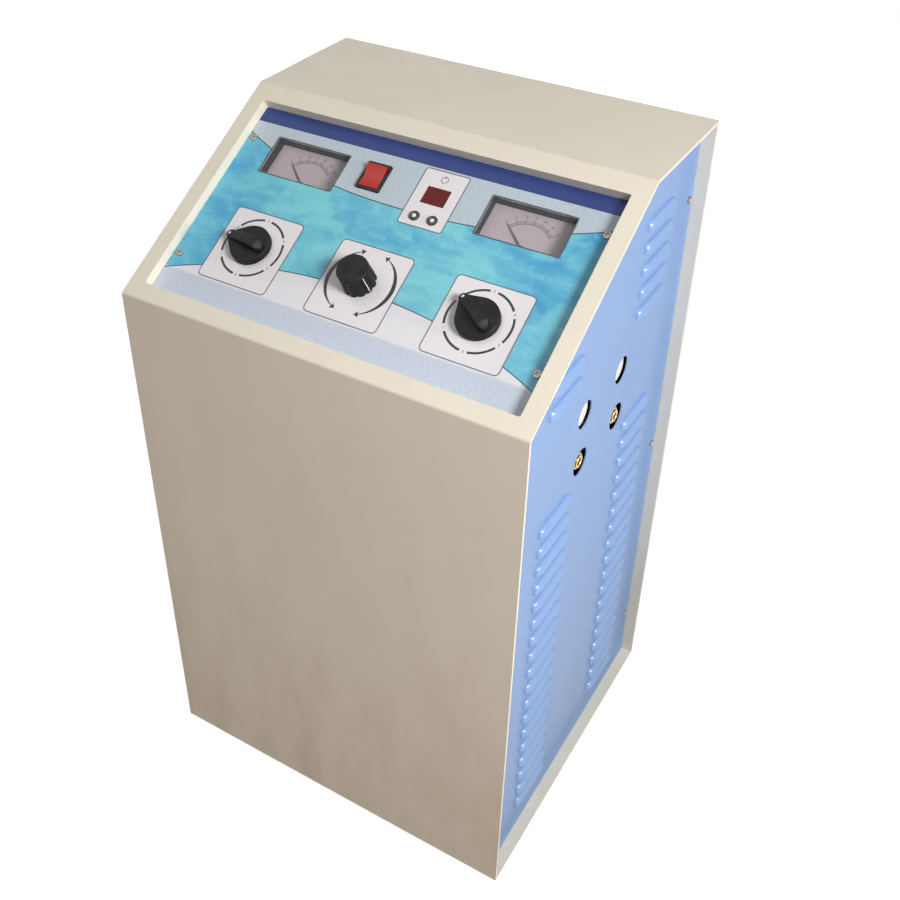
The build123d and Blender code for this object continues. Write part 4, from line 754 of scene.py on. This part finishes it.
    def outputs(self):
        tone = self.fields()
        for joint in ("selector_turn", "tuner_turn", "intensity_turn"):
            tone = self.plate(tone, across_of(joint), *DIAL_PLATE)
        tone = self.plate(tone, *DISPLAY_PLATE)
        # Painted shadows round both meter windows, for the shade of their recesses.
        for joint in ("needle_left_swing", "needle_right_swing"):
            tone = self.meter_edge(tone, joint)
        rough = spread(noise(self.flat, 0.3, 4.0, 0.6), 0.3, 0.7, 0.27, 0.32)
        return {"Color": tone, "Roughness": rough, "Height": self.fibres}


def overlay_print(name):
    constants = {"Specular_IOR_Level": 0.35, "Coat_Weight": 0.08, "Coat_Roughness": 0.2}
    return shader(name, lambda tree: OverlayPrint(tree).outputs(), (0.03, 0.0002), **constants)


def settings(name):
    return getattr(bpy.context.scene, name)


def makers():
    """What makes each finish, by the name of its slot."""
    cabinet, controls = settings("diathermy_cabinet"), settings("diathermy_controls")
    ink = settings("diathermy_print").ink
    clear_coat = {"Coat_Weight": 0.3, "Coat_Roughness": 0.25, "Coat_IOR": 2.6}
    copper = ((0.16, 0.05, 0.02), (0.62, 0.26, 0.11), (0.20, 0.10, 0.06))
    iron = ((0.02, 0.018, 0.016), (0.12, 0.11, 0.105), (0.16, 0.09, 0.05))
    return {
        "cream_enamel": enamel(cabinet.cream, 0.95),
        "blue_enamel": enamel(cabinet.blue, 0.5, gloss=0.0, **clear_coat),
        "grey_enamel": enamel(cabinet.grey, 0.7, 0.42),
        "zinc_steel": moulding((0.58, 0.58, 0.57), 700, 0.2, 0.15, 0.32, Metallic=1.0),
        "nickel_screw": moulding((0.33, 0.30, 0.25), 900, 0.3, 0.2, 0.36, Metallic=1.0),
        "brass_part": moulding((0.62, 0.42, 0.17), 900, 0.25, 0.06, 0.22, Metallic=1.0),
        "aluminium_part": moulding((0.7, 0.71, 0.72), 600, 0.15, 0.08, 0.3, Metallic=1.0),
        "copper_wire": layered(2, 0.0022, 0.6, copper, (90, 3, 0.5), (0.24, 0.42), (0.5, 0.0006), 0.85),
        "dark_laminations": layered(1, 0.001, -0.2, iron, (70, 4, 0.55), (0.35, 0.55), (0.3, 0.0003), 0.6),
        "black_moulding": moulding((0.008, 0.008, 0.009), rough=0.38, Specular_IOR_Level=0.3),
        "white_moulding": moulding((0.78, 0.78, 0.76), 500, 0.06, 0.04, 0.3),
        "brown_bakelite": moulding((0.10, 0.045, 0.025), 400, 0.5, 0.06, 0.3),
        "castor_nylon": moulding((0.05, 0.05, 0.053), 700, 0.2, 0.18, 0.48),
        "circuit_board": moulding((0.03, 0.16, 0.07), 300, 0.35, 0.05, 0.35),
        "clear_glass": glass((0.9, 0.93, 0.92), 0.03),
        "dial_card": moulding((0.44, 0.37, 0.40), 500, 0.08, 0.0, 0.65),
        "dark_needle": moulding((0.03, 0.028, 0.03), rough=0.5),
        "black_knob": moulding(controls.knob, 1600, 0.1, 0.04, 0.42, 0.1, Specular_IOR_Level=0.2),
        "red_rocker": moulding(controls.rocker, 500, 0.06, 0.02, 0.2, 0.03, Specular_IOR_Level=0.4),
        "button_plastic": moulding((0.03, 0.03, 0.032), rough=0.36),
        "dark_red_window": glass(controls.window, 0.88),
        "printed_overlay": overlay_print,
        "printed_ink": moulding(ink, 900, 0.1, 0.0, 0.42, 0.02),
        "white_ink": moulding((0.78, 0.78, 0.76), 900, 0.08, 0.0, 0.45, 0.02),
    }


MATERIALS = {}


def finish_of(slot):
    """The material of a slot, made when it is first asked for."""
    if slot not in MATERIALS:
        MATERIALS[slot] = makers()[slot](slot)
    return MATERIALS[slot]


def coat(node, slot):
    """Gives a CAD node the material of its slot."""
    mesh = frame["nodes"][node].data
    mesh.materials.clear()
    mesh.materials.append(finish_of(slot))


# Shapes of the controls, in millimetres about their own axes


def bar_outline(tail, nose, tail_radius, nose_radius, count):
    """Outline of the hull of two circles on the x axis, with the spine point each point belongs to.

    It runs round the tail's circle, along a flank, round the nose's circle and back along the other
    flank. A flank touches both circles where the cosine of its normal's angle is the difference of
    the radii over their distance, and the radius changes evenly from one circle to the other.
    """
    touch = math.acos((tail_radius - nose_radius) / (nose - tail))
    flank = np.linspace(0, 1, count + 2)[1:-1]
    run = np.concatenate([np.linspace(0, 1, count), 1 + flank, np.linspace(2, 3, count // 2), 3 + flank])
    turns = [touch, 2 * np.pi - touch, 2 * np.pi - touch, 2 * np.pi + touch, 2 * np.pi + touch]
    angle = np.interp(run, range(5), turns)
    centre = np.interp(run, range(5), [tail, tail, nose, nose, tail])
    radius = tail_radius + (nose_radius - tail_radius) * (centre - tail) / (nose - tail)
    return centre, radius, angle


def pointer_body(tail, nose, tail_radius, nose_radius, foot, top):
    """Body over a two-circle outline: its rings are drawn in over a rounded edge, then to the spine,
    and the height is a function of the place along the spine."""
    centre, radius, angle = bar_outline(tail, nose, tail_radius, nose_radius, 24)

    def ring(inset):
        reach = radius - inset
        return centre + reach * np.cos(angle), reach * np.sin(angle)

    def crown(x, y, rise):
        return np.stack([x, y, top(x) + rise], axis=-1)

    level = np.full_like(centre, foot)
    rings = [np.stack([centre, 0 * centre, level], axis=-1), np.stack([*ring(0.0), level], axis=-1)]
    for turn in np.linspace(0, np.pi / 2, 6):
        x, y = ring(POINTER_EDGE * (1 - math.cos(turn)))
        rings.append(crown(x, y, POINTER_EDGE * (math.sin(turn) - 1)))
    for share in (0.3, 0.6, 0.85, 1.0):
        rings.append(crown(x + (centre - x) * share, y * (1 - share), POINTER_CROWN * share))
    return np.stack(rings), False, True


def bar_top(x):
    """Top of a pointer's bar: level in the middle and falling to the nose and the tail, softened
    where the three slopes meet by a smooth lowest value."""
    tail = 10.5 + (x + 18.5) * 0.92
    nose = BAR_TOP - (x - 3.0) * BAR_SLOPE
    slopes = np.stack([np.full_like(x, BAR_TOP), tail, nose])
    return -np.log(np.exp(-slopes * BAR_SHARPNESS).sum(axis=0)) / BAR_SHARPNESS + 0.25


def pointer_knob():
    """Pointer knob: a round skirt drawn out to the nose, and a raised bar along it."""
    skirt = pointer_body(0.0, POINTER_NOSE, 20.2, 4.4, 0.4, lambda x: np.full_like(x, 7.0))
    return {"skirt": skirt, "bar": pointer_body(-12.0, POINTER_NOSE, 5.5, 4.3, 3.0, bar_top)}


def fluted_knob(count, depth):
    """Tall knob: radius falls with height by the taper, and each flute is a cosine raised to a
    power, faded out below the crown; the crown is rounded, its face dished and its foot bored."""
    bevel = rounding(0.0, TUNER_HEIGHT, TUNER_EDGE, 0.1)
    side = [(0.0, height) for height in np.linspace(0.4, TUNER_HEIGHT - TUNER_EDGE, 14)]
    offset, level = np.array([(-0.4, 0.0), *side, *bevel]).T
    steps = count * 14
    angle = full_turn(steps)
    plain = TUNER_RADIUS - level * math.tan(math.radians(TUNER_TAPER)) + offset
    fade = np.clip((TUNER_HEIGHT - 2.2 - level) / 2.5, 0, 1)
    groove = (0.5 - 0.5 * np.cos(count * angle)) ** 3
    ring = np.concatenate([KNOB_BORE + 0 * angle, plain - depth * fade * groove], axis=1)
    level = np.concatenate([[0.0], level])
    crown, dish = plain[-1], TUNER_HEIGHT - 0.5
    cap = [(crown, level[-1]), (crown - 1.2, TUNER_HEIGHT), (crown - 2.2, dish + 0.15)]
    cap += [(crown / 2, dish), (0, dish)]
    bore = [(0, KNOB_BORE_DEPTH), (KNOB_BORE, KNOB_BORE_DEPTH), (KNOB_BORE, 0)]
    return [turned(ring, level, angle), lathe(cap, steps), lathe(bore, steps)]


def louvre_hoods():
    """Skins of all louvres of the right side, over the pressed sheet's own hoods.

    Height over the sheet: proud * (1 - (t / rise)^p - u^p)^0.5, where t is the way up from the
    mouth, u runs from 0 to 1 over each end and p is the louvres' power. Below the mouth the skin
    turns back inside the sheet's wall.
    """
    along = LOUVRE_HALF * np.sin(np.linspace(-np.pi / 2, np.pi / 2, 33))
    run = np.clip((np.abs(along) - LOUVRE_LEVEL) / (LOUVRE_HALF - LOUVRE_LEVEL), 0, 1)[:, None]
    left = 1 - run**LOUVRE_POWER
    turn = np.linspace(0, np.pi / 2, 14)
    up = LOUVRE_RISE * np.cos(turn) ** (2 / LOUVRE_POWER) * left ** (1 / LOUVRE_POWER)
    crest = LOUVRE_PROUD * np.sin(turn) * np.sqrt(left)
    lip = [(LOUVRE_PROUD - drop) * np.sqrt(left) - drop / 2 for drop in (0.2, 0.9)]
    out = np.concatenate([crest, *lip, -0.5 + 0 * left], axis=1) - 0.1
    level = np.concatenate([up, -0.25 + 0 * left, -0.3 + 0 * left, up[:, :1]], axis=1)
    hood = np.stack([SIDE_FACE + out, along[:, None] + 0 * out, level], axis=-1)
    hood[[0, -1]] = hood[[0, -1], :1]
    low_rows = range(LOUVRE_LOW_ROWS)
    places = [(y, LOUVRE_LOW - LOUVRE_PITCH * row) for y in LOUVRE_HIGH_ROWS for row in low_rows]
    for y, rows in LOUVRE_HIGH_ROWS.items():
        places += [(y, LOUVRE_HIGH + LOUVRE_PITCH * row) for row in range(rows)]
    return [(hood + np.array((0.0, y, z)), False, True) for y, z in places]


def lower_hoods(mesh):
    """Lowers the sheet's own hoods, so that they lie under their skins."""
    points = np.empty(len(mesh.vertices) * 3)
    mesh.vertices.foreach_get("co", points)
    points = points.reshape(-1, 3)
    over = np.abs(points[:, 0]) - SIDE_FACE * MM
    points[:, 0] -= np.sign(points[:, 0]) * np.where(over > 0.05 * MM, over * (1 - LOUVRE_PRESSED), 0)
    mesh.vertices.foreach_set("co", points.ravel())
    mesh.update()


def screw_head():
    """Pan head with a cross recess: a dome over a polar grid, sunk where both a spoke lies near
    an axis and the radius is inside the recess."""
    share = np.concatenate([np.linspace(0, 0.62, 12), np.linspace(0.66, 1, 9)])
    angle = full_turn(48)
    radius = share * SCREW_RADIUS
    dome = SCREW_RISE * np.sqrt(np.clip(1 - (0.86 * share) ** 4, 0, 1))
    off_axis = radius * np.minimum(np.abs(np.cos(angle)), np.abs(np.sin(angle)))
    spoke = np.clip(1.6 - off_axis / (SCREW_SLOT / 2), 0, 1)
    inside = np.clip((0.6 * SCREW_RADIUS - radius) / (0.12 * SCREW_RADIUS), 0, 1)
    top = turned(radius, dome - SCREW_SLOT_DEPTH * spoke * inside, angle)
    side = [(SCREW_RADIUS, dome[-1]), (SCREW_RADIUS, 0.0)]
    shank = [(SCREW_SHANK, 0.0), (SCREW_SHANK, -SCREW_REACH), (0.0, -SCREW_REACH)]
    return [top, lathe(side + shank, 48)]


def pan_screws():
    """Frames of the pan-head screws on both sides, the rear and the control panel, z outwards."""
    frames = []
    for side in (1, -1):
        turn = Matrix.Rotation(side * math.pi / 2, 4, "Y")
        frames += [Matrix.Translation((side * SIDE_FACE, y, z)) @ turn for y, z in SIDE_SCREWS]
    turn = Matrix.Rotation(-math.pi / 2, 4, "X")
    frames += [Matrix.Translation((x, REAR_FACE, z)) @ turn for x, z in REAR_SCREWS]
    frames = [Matrix.Scale(MM, 4) @ place for place in frames]
    return frames + [on_panel(x, y) for x, y in PANEL_SCREWS]


def numerals(prefix, texts, turns, centre, radius, out, size, slot):
    """Numbers set upright round a centre on the panel."""
    for index, (text, turn) in enumerate(zip(texts, turns)):
        across, up = spot_on(radius, turn) + np.array(centre)
        lettering(f"{prefix}_number_{index}", str(text), size, on_panel(across, up, out), slot)


# Steps that dress the machine


class DressingOperator:
    """What the steps have in common: the CAD nodes that each slot's finish goes on, and then the
    step's own pieces."""

    bl_options = {"REGISTER", "UNDO"}
    coats = {}

    def execute(self, context):
        for slot, nodes in self.coats.items():
            for node in nodes:
                coat(node, slot)
        self.dress()
        return {"FINISHED"}

    def dress(self):
        """A step without pieces of its own has nothing more to do."""


class DressCabinet(DressingOperator, bpy.types.Operator):
    """Enamels the folded wrap, with its sheet edges rounded, the rear panel and the base"""

    bl_idname = "diathermy.cabinet"
    bl_label = "Cabinet"
    coats = {"grey_enamel": ("rear_panel", "inlet_plate", "base_pan")}

    def dress(self):
        refined("cabinet_wrap", "cream_enamel", settings("diathermy_cabinet").sheet_edge / MM)


class DressSidePanels(DressingOperator, bpy.types.Operator):
    """Enamels the side panels and lays rounder skins over their louvres"""

    bl_idname = "diathermy.side_panels"
    bl_label = "Side panels"

    def dress(self):
        for side in ("left", "right"):
            lower_hoods(refined(f"side_panel_{side}", "blue_enamel", PRESSED_EDGE, flat=0).data)
        hoods = louvre_hoods()
        for side, mirror in (("right", 1.0), ("left", -1.0)):
            place = Matrix.Diagonal((mirror * MM, MM, MM, 1.0))
            surface(f"louvre_skins_{side}", hoods, place, "root", "blue_enamel", smooth=50)


class DressPanel(DressingOperator, bpy.types.Operator):
    """Prints the overlay and sets the dials' scales and numerals on it"""

    bl_idname = "diathermy.panel"
    bl_label = "Panel print"
    coats = {"zinc_steel": ("control_panel",), "printed_overlay": ("panel_overlay",)}

    def dress(self):
        for side in POINTER_TURNS:
            self.dial(side, across_of(f"{side}_turn"))
        printed("tuner_arrows", self.arrows(), on_panel(0, DIAL_ROW), "printed_overlay")
        mark = strip(arc(3.4, 0, 360, 40), 0.5, INK_LIFT, INK_TOP - 0.01)
        mark += strip([(0, 1.0), (0, 4.4)], 0.6, INK_LIFT, INK_TOP - 0.005)
        printed("display_mark", mark, on_panel(*DISPLAY_MARK), "printed_overlay")

    def dial(self, side, across):
        """Six arcs with a number in each gap."""
        marks = []
        for middle in range(0, 360, 60):
            marks += strip(arc(DIAL_RADIUS, middle - 23, middle + 23, 24), 2.2, INK_LIFT, INK_TOP)
        printed(f"{side}_scale", marks, on_panel(across, DIAL_ROW), "printed_overlay")
        turns, centre = (-90, -150, 150, 90, 30, -30), (across, DIAL_ROW)
        numerals(side, range(6), turns, centre, DIAL_RADIUS + 0.2, INK_TOP - 0.01, 3.6, "printed_overlay")

    def arrows(self):
        """Two arcs that swell in the middle, with a head at each end."""
        marks = []
        swell = 0.7 + 3.2 * np.sin(np.linspace(0, np.pi, 60)) ** 1.3
        for start, end in ((-66, 66), (114, 246)):
            marks += strip(arc(ARROW_RADIUS, start, end, 60), swell, INK_LIFT, INK_TOP)
            for turn, way in ((start, -1), (end, 1)):
                heel, tip = spot_on(ARROW_RADIUS, turn - 1.5 * way), spot_on(ARROW_RADIUS, turn + 5.5 * way)
                marks += strip(np.linspace(heel, tip, 8), np.linspace(6.0, 0.2, 8), INK_LIFT, INK_TOP)
        return marks


class DressMeters(DressingOperator, bpy.types.Operator):
    """Fits the meters' cases, glasses, dial scales and needles"""

    bl_idname = "diathermy.meters"
    bl_label = "Meters"
    coats = {
        "black_moulding": ("meter_cases",),
        "clear_glass": ("meter_windows",),
        "dial_card": ("meter_dials",),
        "aluminium_part": ("meter_movements",),
        "dark_needle": ("needle_left", "needle_right"),
    }

    def dress(self):
        turns = [METER_START - METER_STEP * index for index in range(METER_DIVISIONS + 1)]
        values = range(0, METER_DIVISIONS + 1, 5)
        for side in ("left", "right"):
            across = across_of(f"needle_{side}_swing")
            place = on_panel(across, METER_PIVOT, METER_FACE)
            printed(f"meter_scale_{side}", self.scale(turns), place, "dial_card")
            centre, out = (across, METER_PIVOT), METER_FACE + 0.06
            numerals(f"meter_{side}", values, turns[::5], centre, METER_NUMBERS, out, 3.2, "dial_card")

    def scale(self, turns):
        """Two arcs and the divisions across them, each fifth one stronger."""
        marks = []
        for radius, width in ((METER_RADIUS, 0.45), (METER_RADIUS + 2.5, 0.25)):
            marks += strip(arc(radius, turns[-1], turns[0], 60), width, METER_INK_LIFT, METER_INK_TOP)
        for index, turn in enumerate(turns):
            reach, width = (5.0, 0.45) if index % 5 == 0 else (3.0, 0.25)
            ends = [spot_on(METER_RADIUS, turn), spot_on(METER_RADIUS + reach, turn)]
            marks += strip(ends, width, METER_INK_LIFT, METER_INK_TOP + 0.005)
        return marks


class DressRocker(DressingOperator, bpy.types.Operator):
    """Moulds the mains rocker and its bezel with rounded edges"""

    bl_idname = "diathermy.rocker"
    bl_label = "Mains rocker"

    def dress(self):
        refined("rocker_housing", "black_moulding", 0.4)
        refined("mains_rocker", "red_rocker", 0.6)


class DressDisplay(DressingOperator, bpy.types.Operator):
    """Fits the timer's window, unlit digits, board and push buttons"""

    bl_idname = "diathermy.display"
    bl_label = "Timer display"
    coats = {
        "dark_red_window": ("display_window",),
        "black_moulding": ("display_module", "button_switches"),
        "circuit_board": ("display_board",),
        "brass_part": ("board_spacers",),
    }

    def dress(self):
        shoulder = [(0, -3.0), (2.0, -3.0), (6.5, -3.0), (6.5, -2.1), (5.0, -2.05)]
        cap = [*shoulder, *rounding(5.0, 1.6, 0.7, 0.0), (3.6, 1.6), (3.1, 1.0), (0, 0.8)]
        dot = [(0, 0.7), (2.0, 0.7), (2.0, 1.2), (1.7, 1.45), (0, 1.5)]
        for body in ("button_left", "button_right"):
            low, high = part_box(body)
            middle = PANEL.inverted() @ ((low + high) / 2)
            place = on_panel(middle.x / MM, BUTTON_ROW)
            surface(f"{body}_cap", [lathe(cap, 64)], place, body, "button_plastic", [body])
            surface(f"{body}_mark", [lathe(dot, 32)], place, body, "button_plastic", finish="white_ink")


class DressKnobs(DressingOperator, bpy.types.Operator):
    """Moulds the two pointer knobs and the fluted tuning knob, with their white marks"""

    bl_idname = "diathermy.knobs"
    bl_label = "Knobs"
    coats = {
        "brass_part": ("selector_spindle", "intensity_spindle"),
        "nickel_screw": ("bush_nuts",),
        "brown_bakelite": ("rotary_switches",),
        "aluminium_part": ("tuner_frame", "tuner_rotor", "tuner_stator"),
    }

    def dress(self):
        for side, turn in POINTER_TURNS.items():
            self.pointer(side, on_panel(across_of(f"{side}_turn"), DIAL_ROW, KNOB_LIFT, turn))
        self.tuner(on_panel(0, DIAL_ROW, KNOB_LIFT, TUNER_TURN))

    def pointer(self, side, place):
        for part, shape in pointer_knob().items():
            surface(f"{side}_{part}", [shape], place, side, "black_knob", [f"{side}_knob"], 40)
        slope = Matrix.Rotation(math.atan(BAR_SLOPE), 4, "Y")
        nose = place @ Matrix.Translation((POINTER_NOSE, 0, 10.0)) @ slope
        dot = lathe([(0, -0.3), (1.6, -0.3), (1.6, 0.2), (1.4, 0.3), (0, 0.32)], 32)
        surface(f"{side}_mark", [dot], nose, side, "black_knob", finish="white_ink")

    def tuner(self, place):
        """Fluted knob and the white line up its side."""
        controls = settings("diathermy_controls")
        shape = fluted_knob(controls.flutes, controls.flute / MM)
        surface("tuner_knob_body", shape, place, "tuner", "black_knob", ["tuner_knob"], 40)
        low, high = (Vector(end) for end in TUNER_LINE)
        rise, across = (high - low).normalized(), Vector((0, 1, 0))
        axes = Matrix((across, rise, across.cross(rise))).transposed().to_4x4()
        place = place @ Matrix.Translation(low) @ axes
        mark = strip([(0, 0), (0, (high - low).length)], 0.6, -0.4, 0.05)
        surface("tuner_line", mark, place, "tuner", "black_knob", finish="white_ink")


class DressOutlets(DressingOperator, bpy.types.Operator):
    """Turns the brass outlet sockets and the white blanks on their board"""

    bl_idname = "diathermy.outlets"
    bl_label = "Electrode outlets"
    coats = {"brown_bakelite": ("outlet_board",)}

    def dress(self):
        refined("outlet_sockets", "brass_part", 0.6, flat=0)
        refined("outlet_blanks", "white_moulding", 1.2, flat=0)
        inner = [(4.05, -5.5), (4.05, -0.7), (4.7, 0), (6.4, 0), (6.9, -0.5)]
        nose = lathe([*inner, (6.9, -1.6), (8.6, -1.7), (8.6, -5.5), inner[0]], 64)
        turn = Matrix.Rotation(math.pi / 2, 4, "Y")
        for side, place in OUTLETS.items():
            socket = Matrix.Scale(MM, 4) @ Matrix.Translation(place) @ turn
            surface(f"outlet_nose_{side}", [nose], socket, "root", "brass_part")


class DressScrews(DressingOperator, bpy.types.Operator):
    """Turns the cabinet and panel screws with cross recesses"""

    bl_idname = "diathermy.screws"
    bl_label = "Screws"
    coats = {"nickel_screw": ("castor_bolts",)}

    def dress(self):
        head, grids = screw_head(), []
        for index, place in enumerate(pan_screws()):
            grids += placed(head, place @ Matrix.Rotation(math.radians(SCREW_TURN * index), 4, "Z"))
        surface("screw_heads", grids, Matrix(), "root", "nickel_screw", ["cabinet_screws"], 40)


class DressRear(DressingOperator, bpy.types.Operator):
    """Fits the fan and the mains inlet"""

    bl_idname = "diathermy.rear"
    bl_label = "Fan and mains inlet"
    coats = {"black_moulding": ("fan_housing", "fan_rotor")}

    def dress(self):
        refined("mains_inlet", "black_moulding", 0.4)


class DressInside(DressingOperator, bpy.types.Operator):
    """Finishes the shelf, the oscillator and the power supply inside"""

    bl_idname = "diathermy.inside"
    bl_label = "Inside"
    coats = {
        "zinc_steel": ("side_frame_left", "side_frame_right", "chassis_shelf"),
        "white_moulding": ("valve_socket", "coil_former"),
        "clear_glass": ("oscillator_valve",),
        "copper_wire": ("tank_winding", "transformer_windings"),
        "dark_laminations": ("transformer_cores",),
        "aluminium_part": ("smoothing_capacitors",),
    }


class DressCastors(DressingOperator, bpy.types.Operator):
    """Finishes the four swivel castors"""

    bl_idname = "diathermy.castors"
    bl_label = "Castors"
    coats = {
        "zinc_steel": ("castor_plates", *(f"castor_fork_{corner}" for corner in CORNERS)),
        "castor_nylon": tuple(f"castor_wheel_{corner}" for corner in CORNERS),
    }


class SetStage(DressingOperator, bpy.types.Operator):
    """Lays the floor and sets the lamps, the room light and the camera"""

    bl_idname = "diathermy.stage"
    bl_label = "Stage"

    def dress(self):
        stage = settings("diathermy_stage")
        self.floor()
        for name, (place, target, size) in LAMPS.items():
            self.lamp(f"{name}_lamp", Vector(place), Vector(target), size, getattr(stage, name))
        self.room_light(stage.room)
        self.camera()
        bpy.context.scene.view_settings.view_transform = "Standard"

    def white_seen(self, tree):
        """1 for rays that look at the background directly, in gloss or through glass."""
        path = add(tree, "ShaderNodeLightPath").outputs
        seen = calc("MAXIMUM", path["Is Camera Ray"], path["Is Glossy Ray"])
        return calc("MAXIMUM", seen, path["Is Transmission Ray"])

    def floor(self):
        run = np.linspace(-FLOOR_HALF, FLOOR_HALF, 9)
        grid = np.stack([*np.meshgrid(run, run), np.zeros((9, 9))], axis=-1)
        points, faces = skins((grid, False, False))
        mesh = bpy.data.meshes.new("floor")
        mesh.from_pydata(points.tolist(), [], faces)
        mesh.materials.append(self.floor_paint())
        linked("floor", mesh)

    def floor_paint(self):
        """Pale floor: white where it is looked at, dimmer where it lights the machine from below."""
        material = bpy.data.materials.new("floor_paint")
        tree = cleared(material)
        slow = noise(object_place(tree), 1.5, 3.0, 0.5)
        pale = mixed(slow, (0.62, 0.62, 0.62), (0.66, 0.66, 0.66))
        tone = mixed(self.white_seen(tree), (0.20, 0.08, 0.02), pale)
        body = after("ShaderNodeBsdfDiffuse", {0: tone})
        lift = calc("MULTIPLY", self.white_seen(tree), 0.86)
        glow = after("ShaderNodeEmission", {0: full((1.0, 1.0, 1.0)), 1: lift})
        both = after("ShaderNodeAddShader", {0: body.outputs[0], 1: glow.outputs[0]})
        after("ShaderNodeOutputMaterial", {0: both.outputs[0]})
        return material

    def lamp(self, name, place, target, size, watts):
        light = bpy.data.lights.new(name, "AREA")
        light.shape = "DISK"
        light.size = size
        light.energy = watts
        lamp = linked(name, light)
        lamp.location = place
        lamp.rotation_euler = (target - place).to_track_quat("-Z", "Y").to_euler()

    def room_light(self, strength):
        world = bpy.data.worlds.new("room")
        bpy.context.scene.world = world
        tree = cleared(world)
        level = mixed(self.white_seen(tree), (strength,) * 3, (1.0, 1.0, 1.0))
        sky = after("ShaderNodeBackground", {0: level, 1: 1.0})
        after("ShaderNodeOutputWorld", {0: sky.outputs[0]})

    def camera(self):
        """Camera at the photograph's place."""
        data = bpy.data.cameras.new("camera")
        data.sensor_width = 36.0
        data.lens = CAMERA_LENS
        data.shift_x, data.shift_y = CAMERA_SHIFT
        camera = linked("camera", data)
        camera.matrix_world = Matrix.Translation(CAMERA_PLACE) @ Matrix(CAMERA_AXES).transposed().to_4x4()
        bpy.context.scene.camera = camera


class DiathermyPanel(bpy.types.Panel):
    """Lists the steps that dress the machine"""

    bl_idname = "VIEW3D_PT_diathermy"
    bl_label = "Diathermy machine"
    bl_space_type = "VIEW_3D"
    bl_region_type = "UI"
    bl_category = "Diathermy"

    def draw(self, context):
        for group_name, group_type in SETTINGS.items():
            box = self.layout.box()
            for key in group_type.__annotations__:
                box.prop(getattr(context.scene, group_name), key)
        for operator in OPERATORS:
            self.layout.operator(operator.bl_idname)


SETTINGS = {
    "diathermy_cabinet": CabinetSettings,
    "diathermy_print": PrintSettings,
    "diathermy_controls": ControlSettings,
    "diathermy_stage": StageSettings,
}
OPERATORS = tuple(DressingOperator.__subclasses__())  # in the order in which they are written


def register():
    for kind in (*SETTINGS.values(), *OPERATORS, DiathermyPanel):
        bpy.utils.register_class(kind)
    for name, kind in SETTINGS.items():
        setattr(bpy.types.Scene, name, PointerProperty(type=kind))


def unregister():
    for name in SETTINGS:
        delattr(bpy.types.Scene, name)
    for kind in (DiathermyPanel, *reversed(OPERATORS), *reversed(SETTINGS.values())):
        bpy.utils.unregister_class(kind)


def main():
    """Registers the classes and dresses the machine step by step."""
    register()
    for operator in OPERATORS:
        getattr(bpy.ops.diathermy, operator.bl_idname.split(".")[1])()


if __name__ == "__main__":
    main()
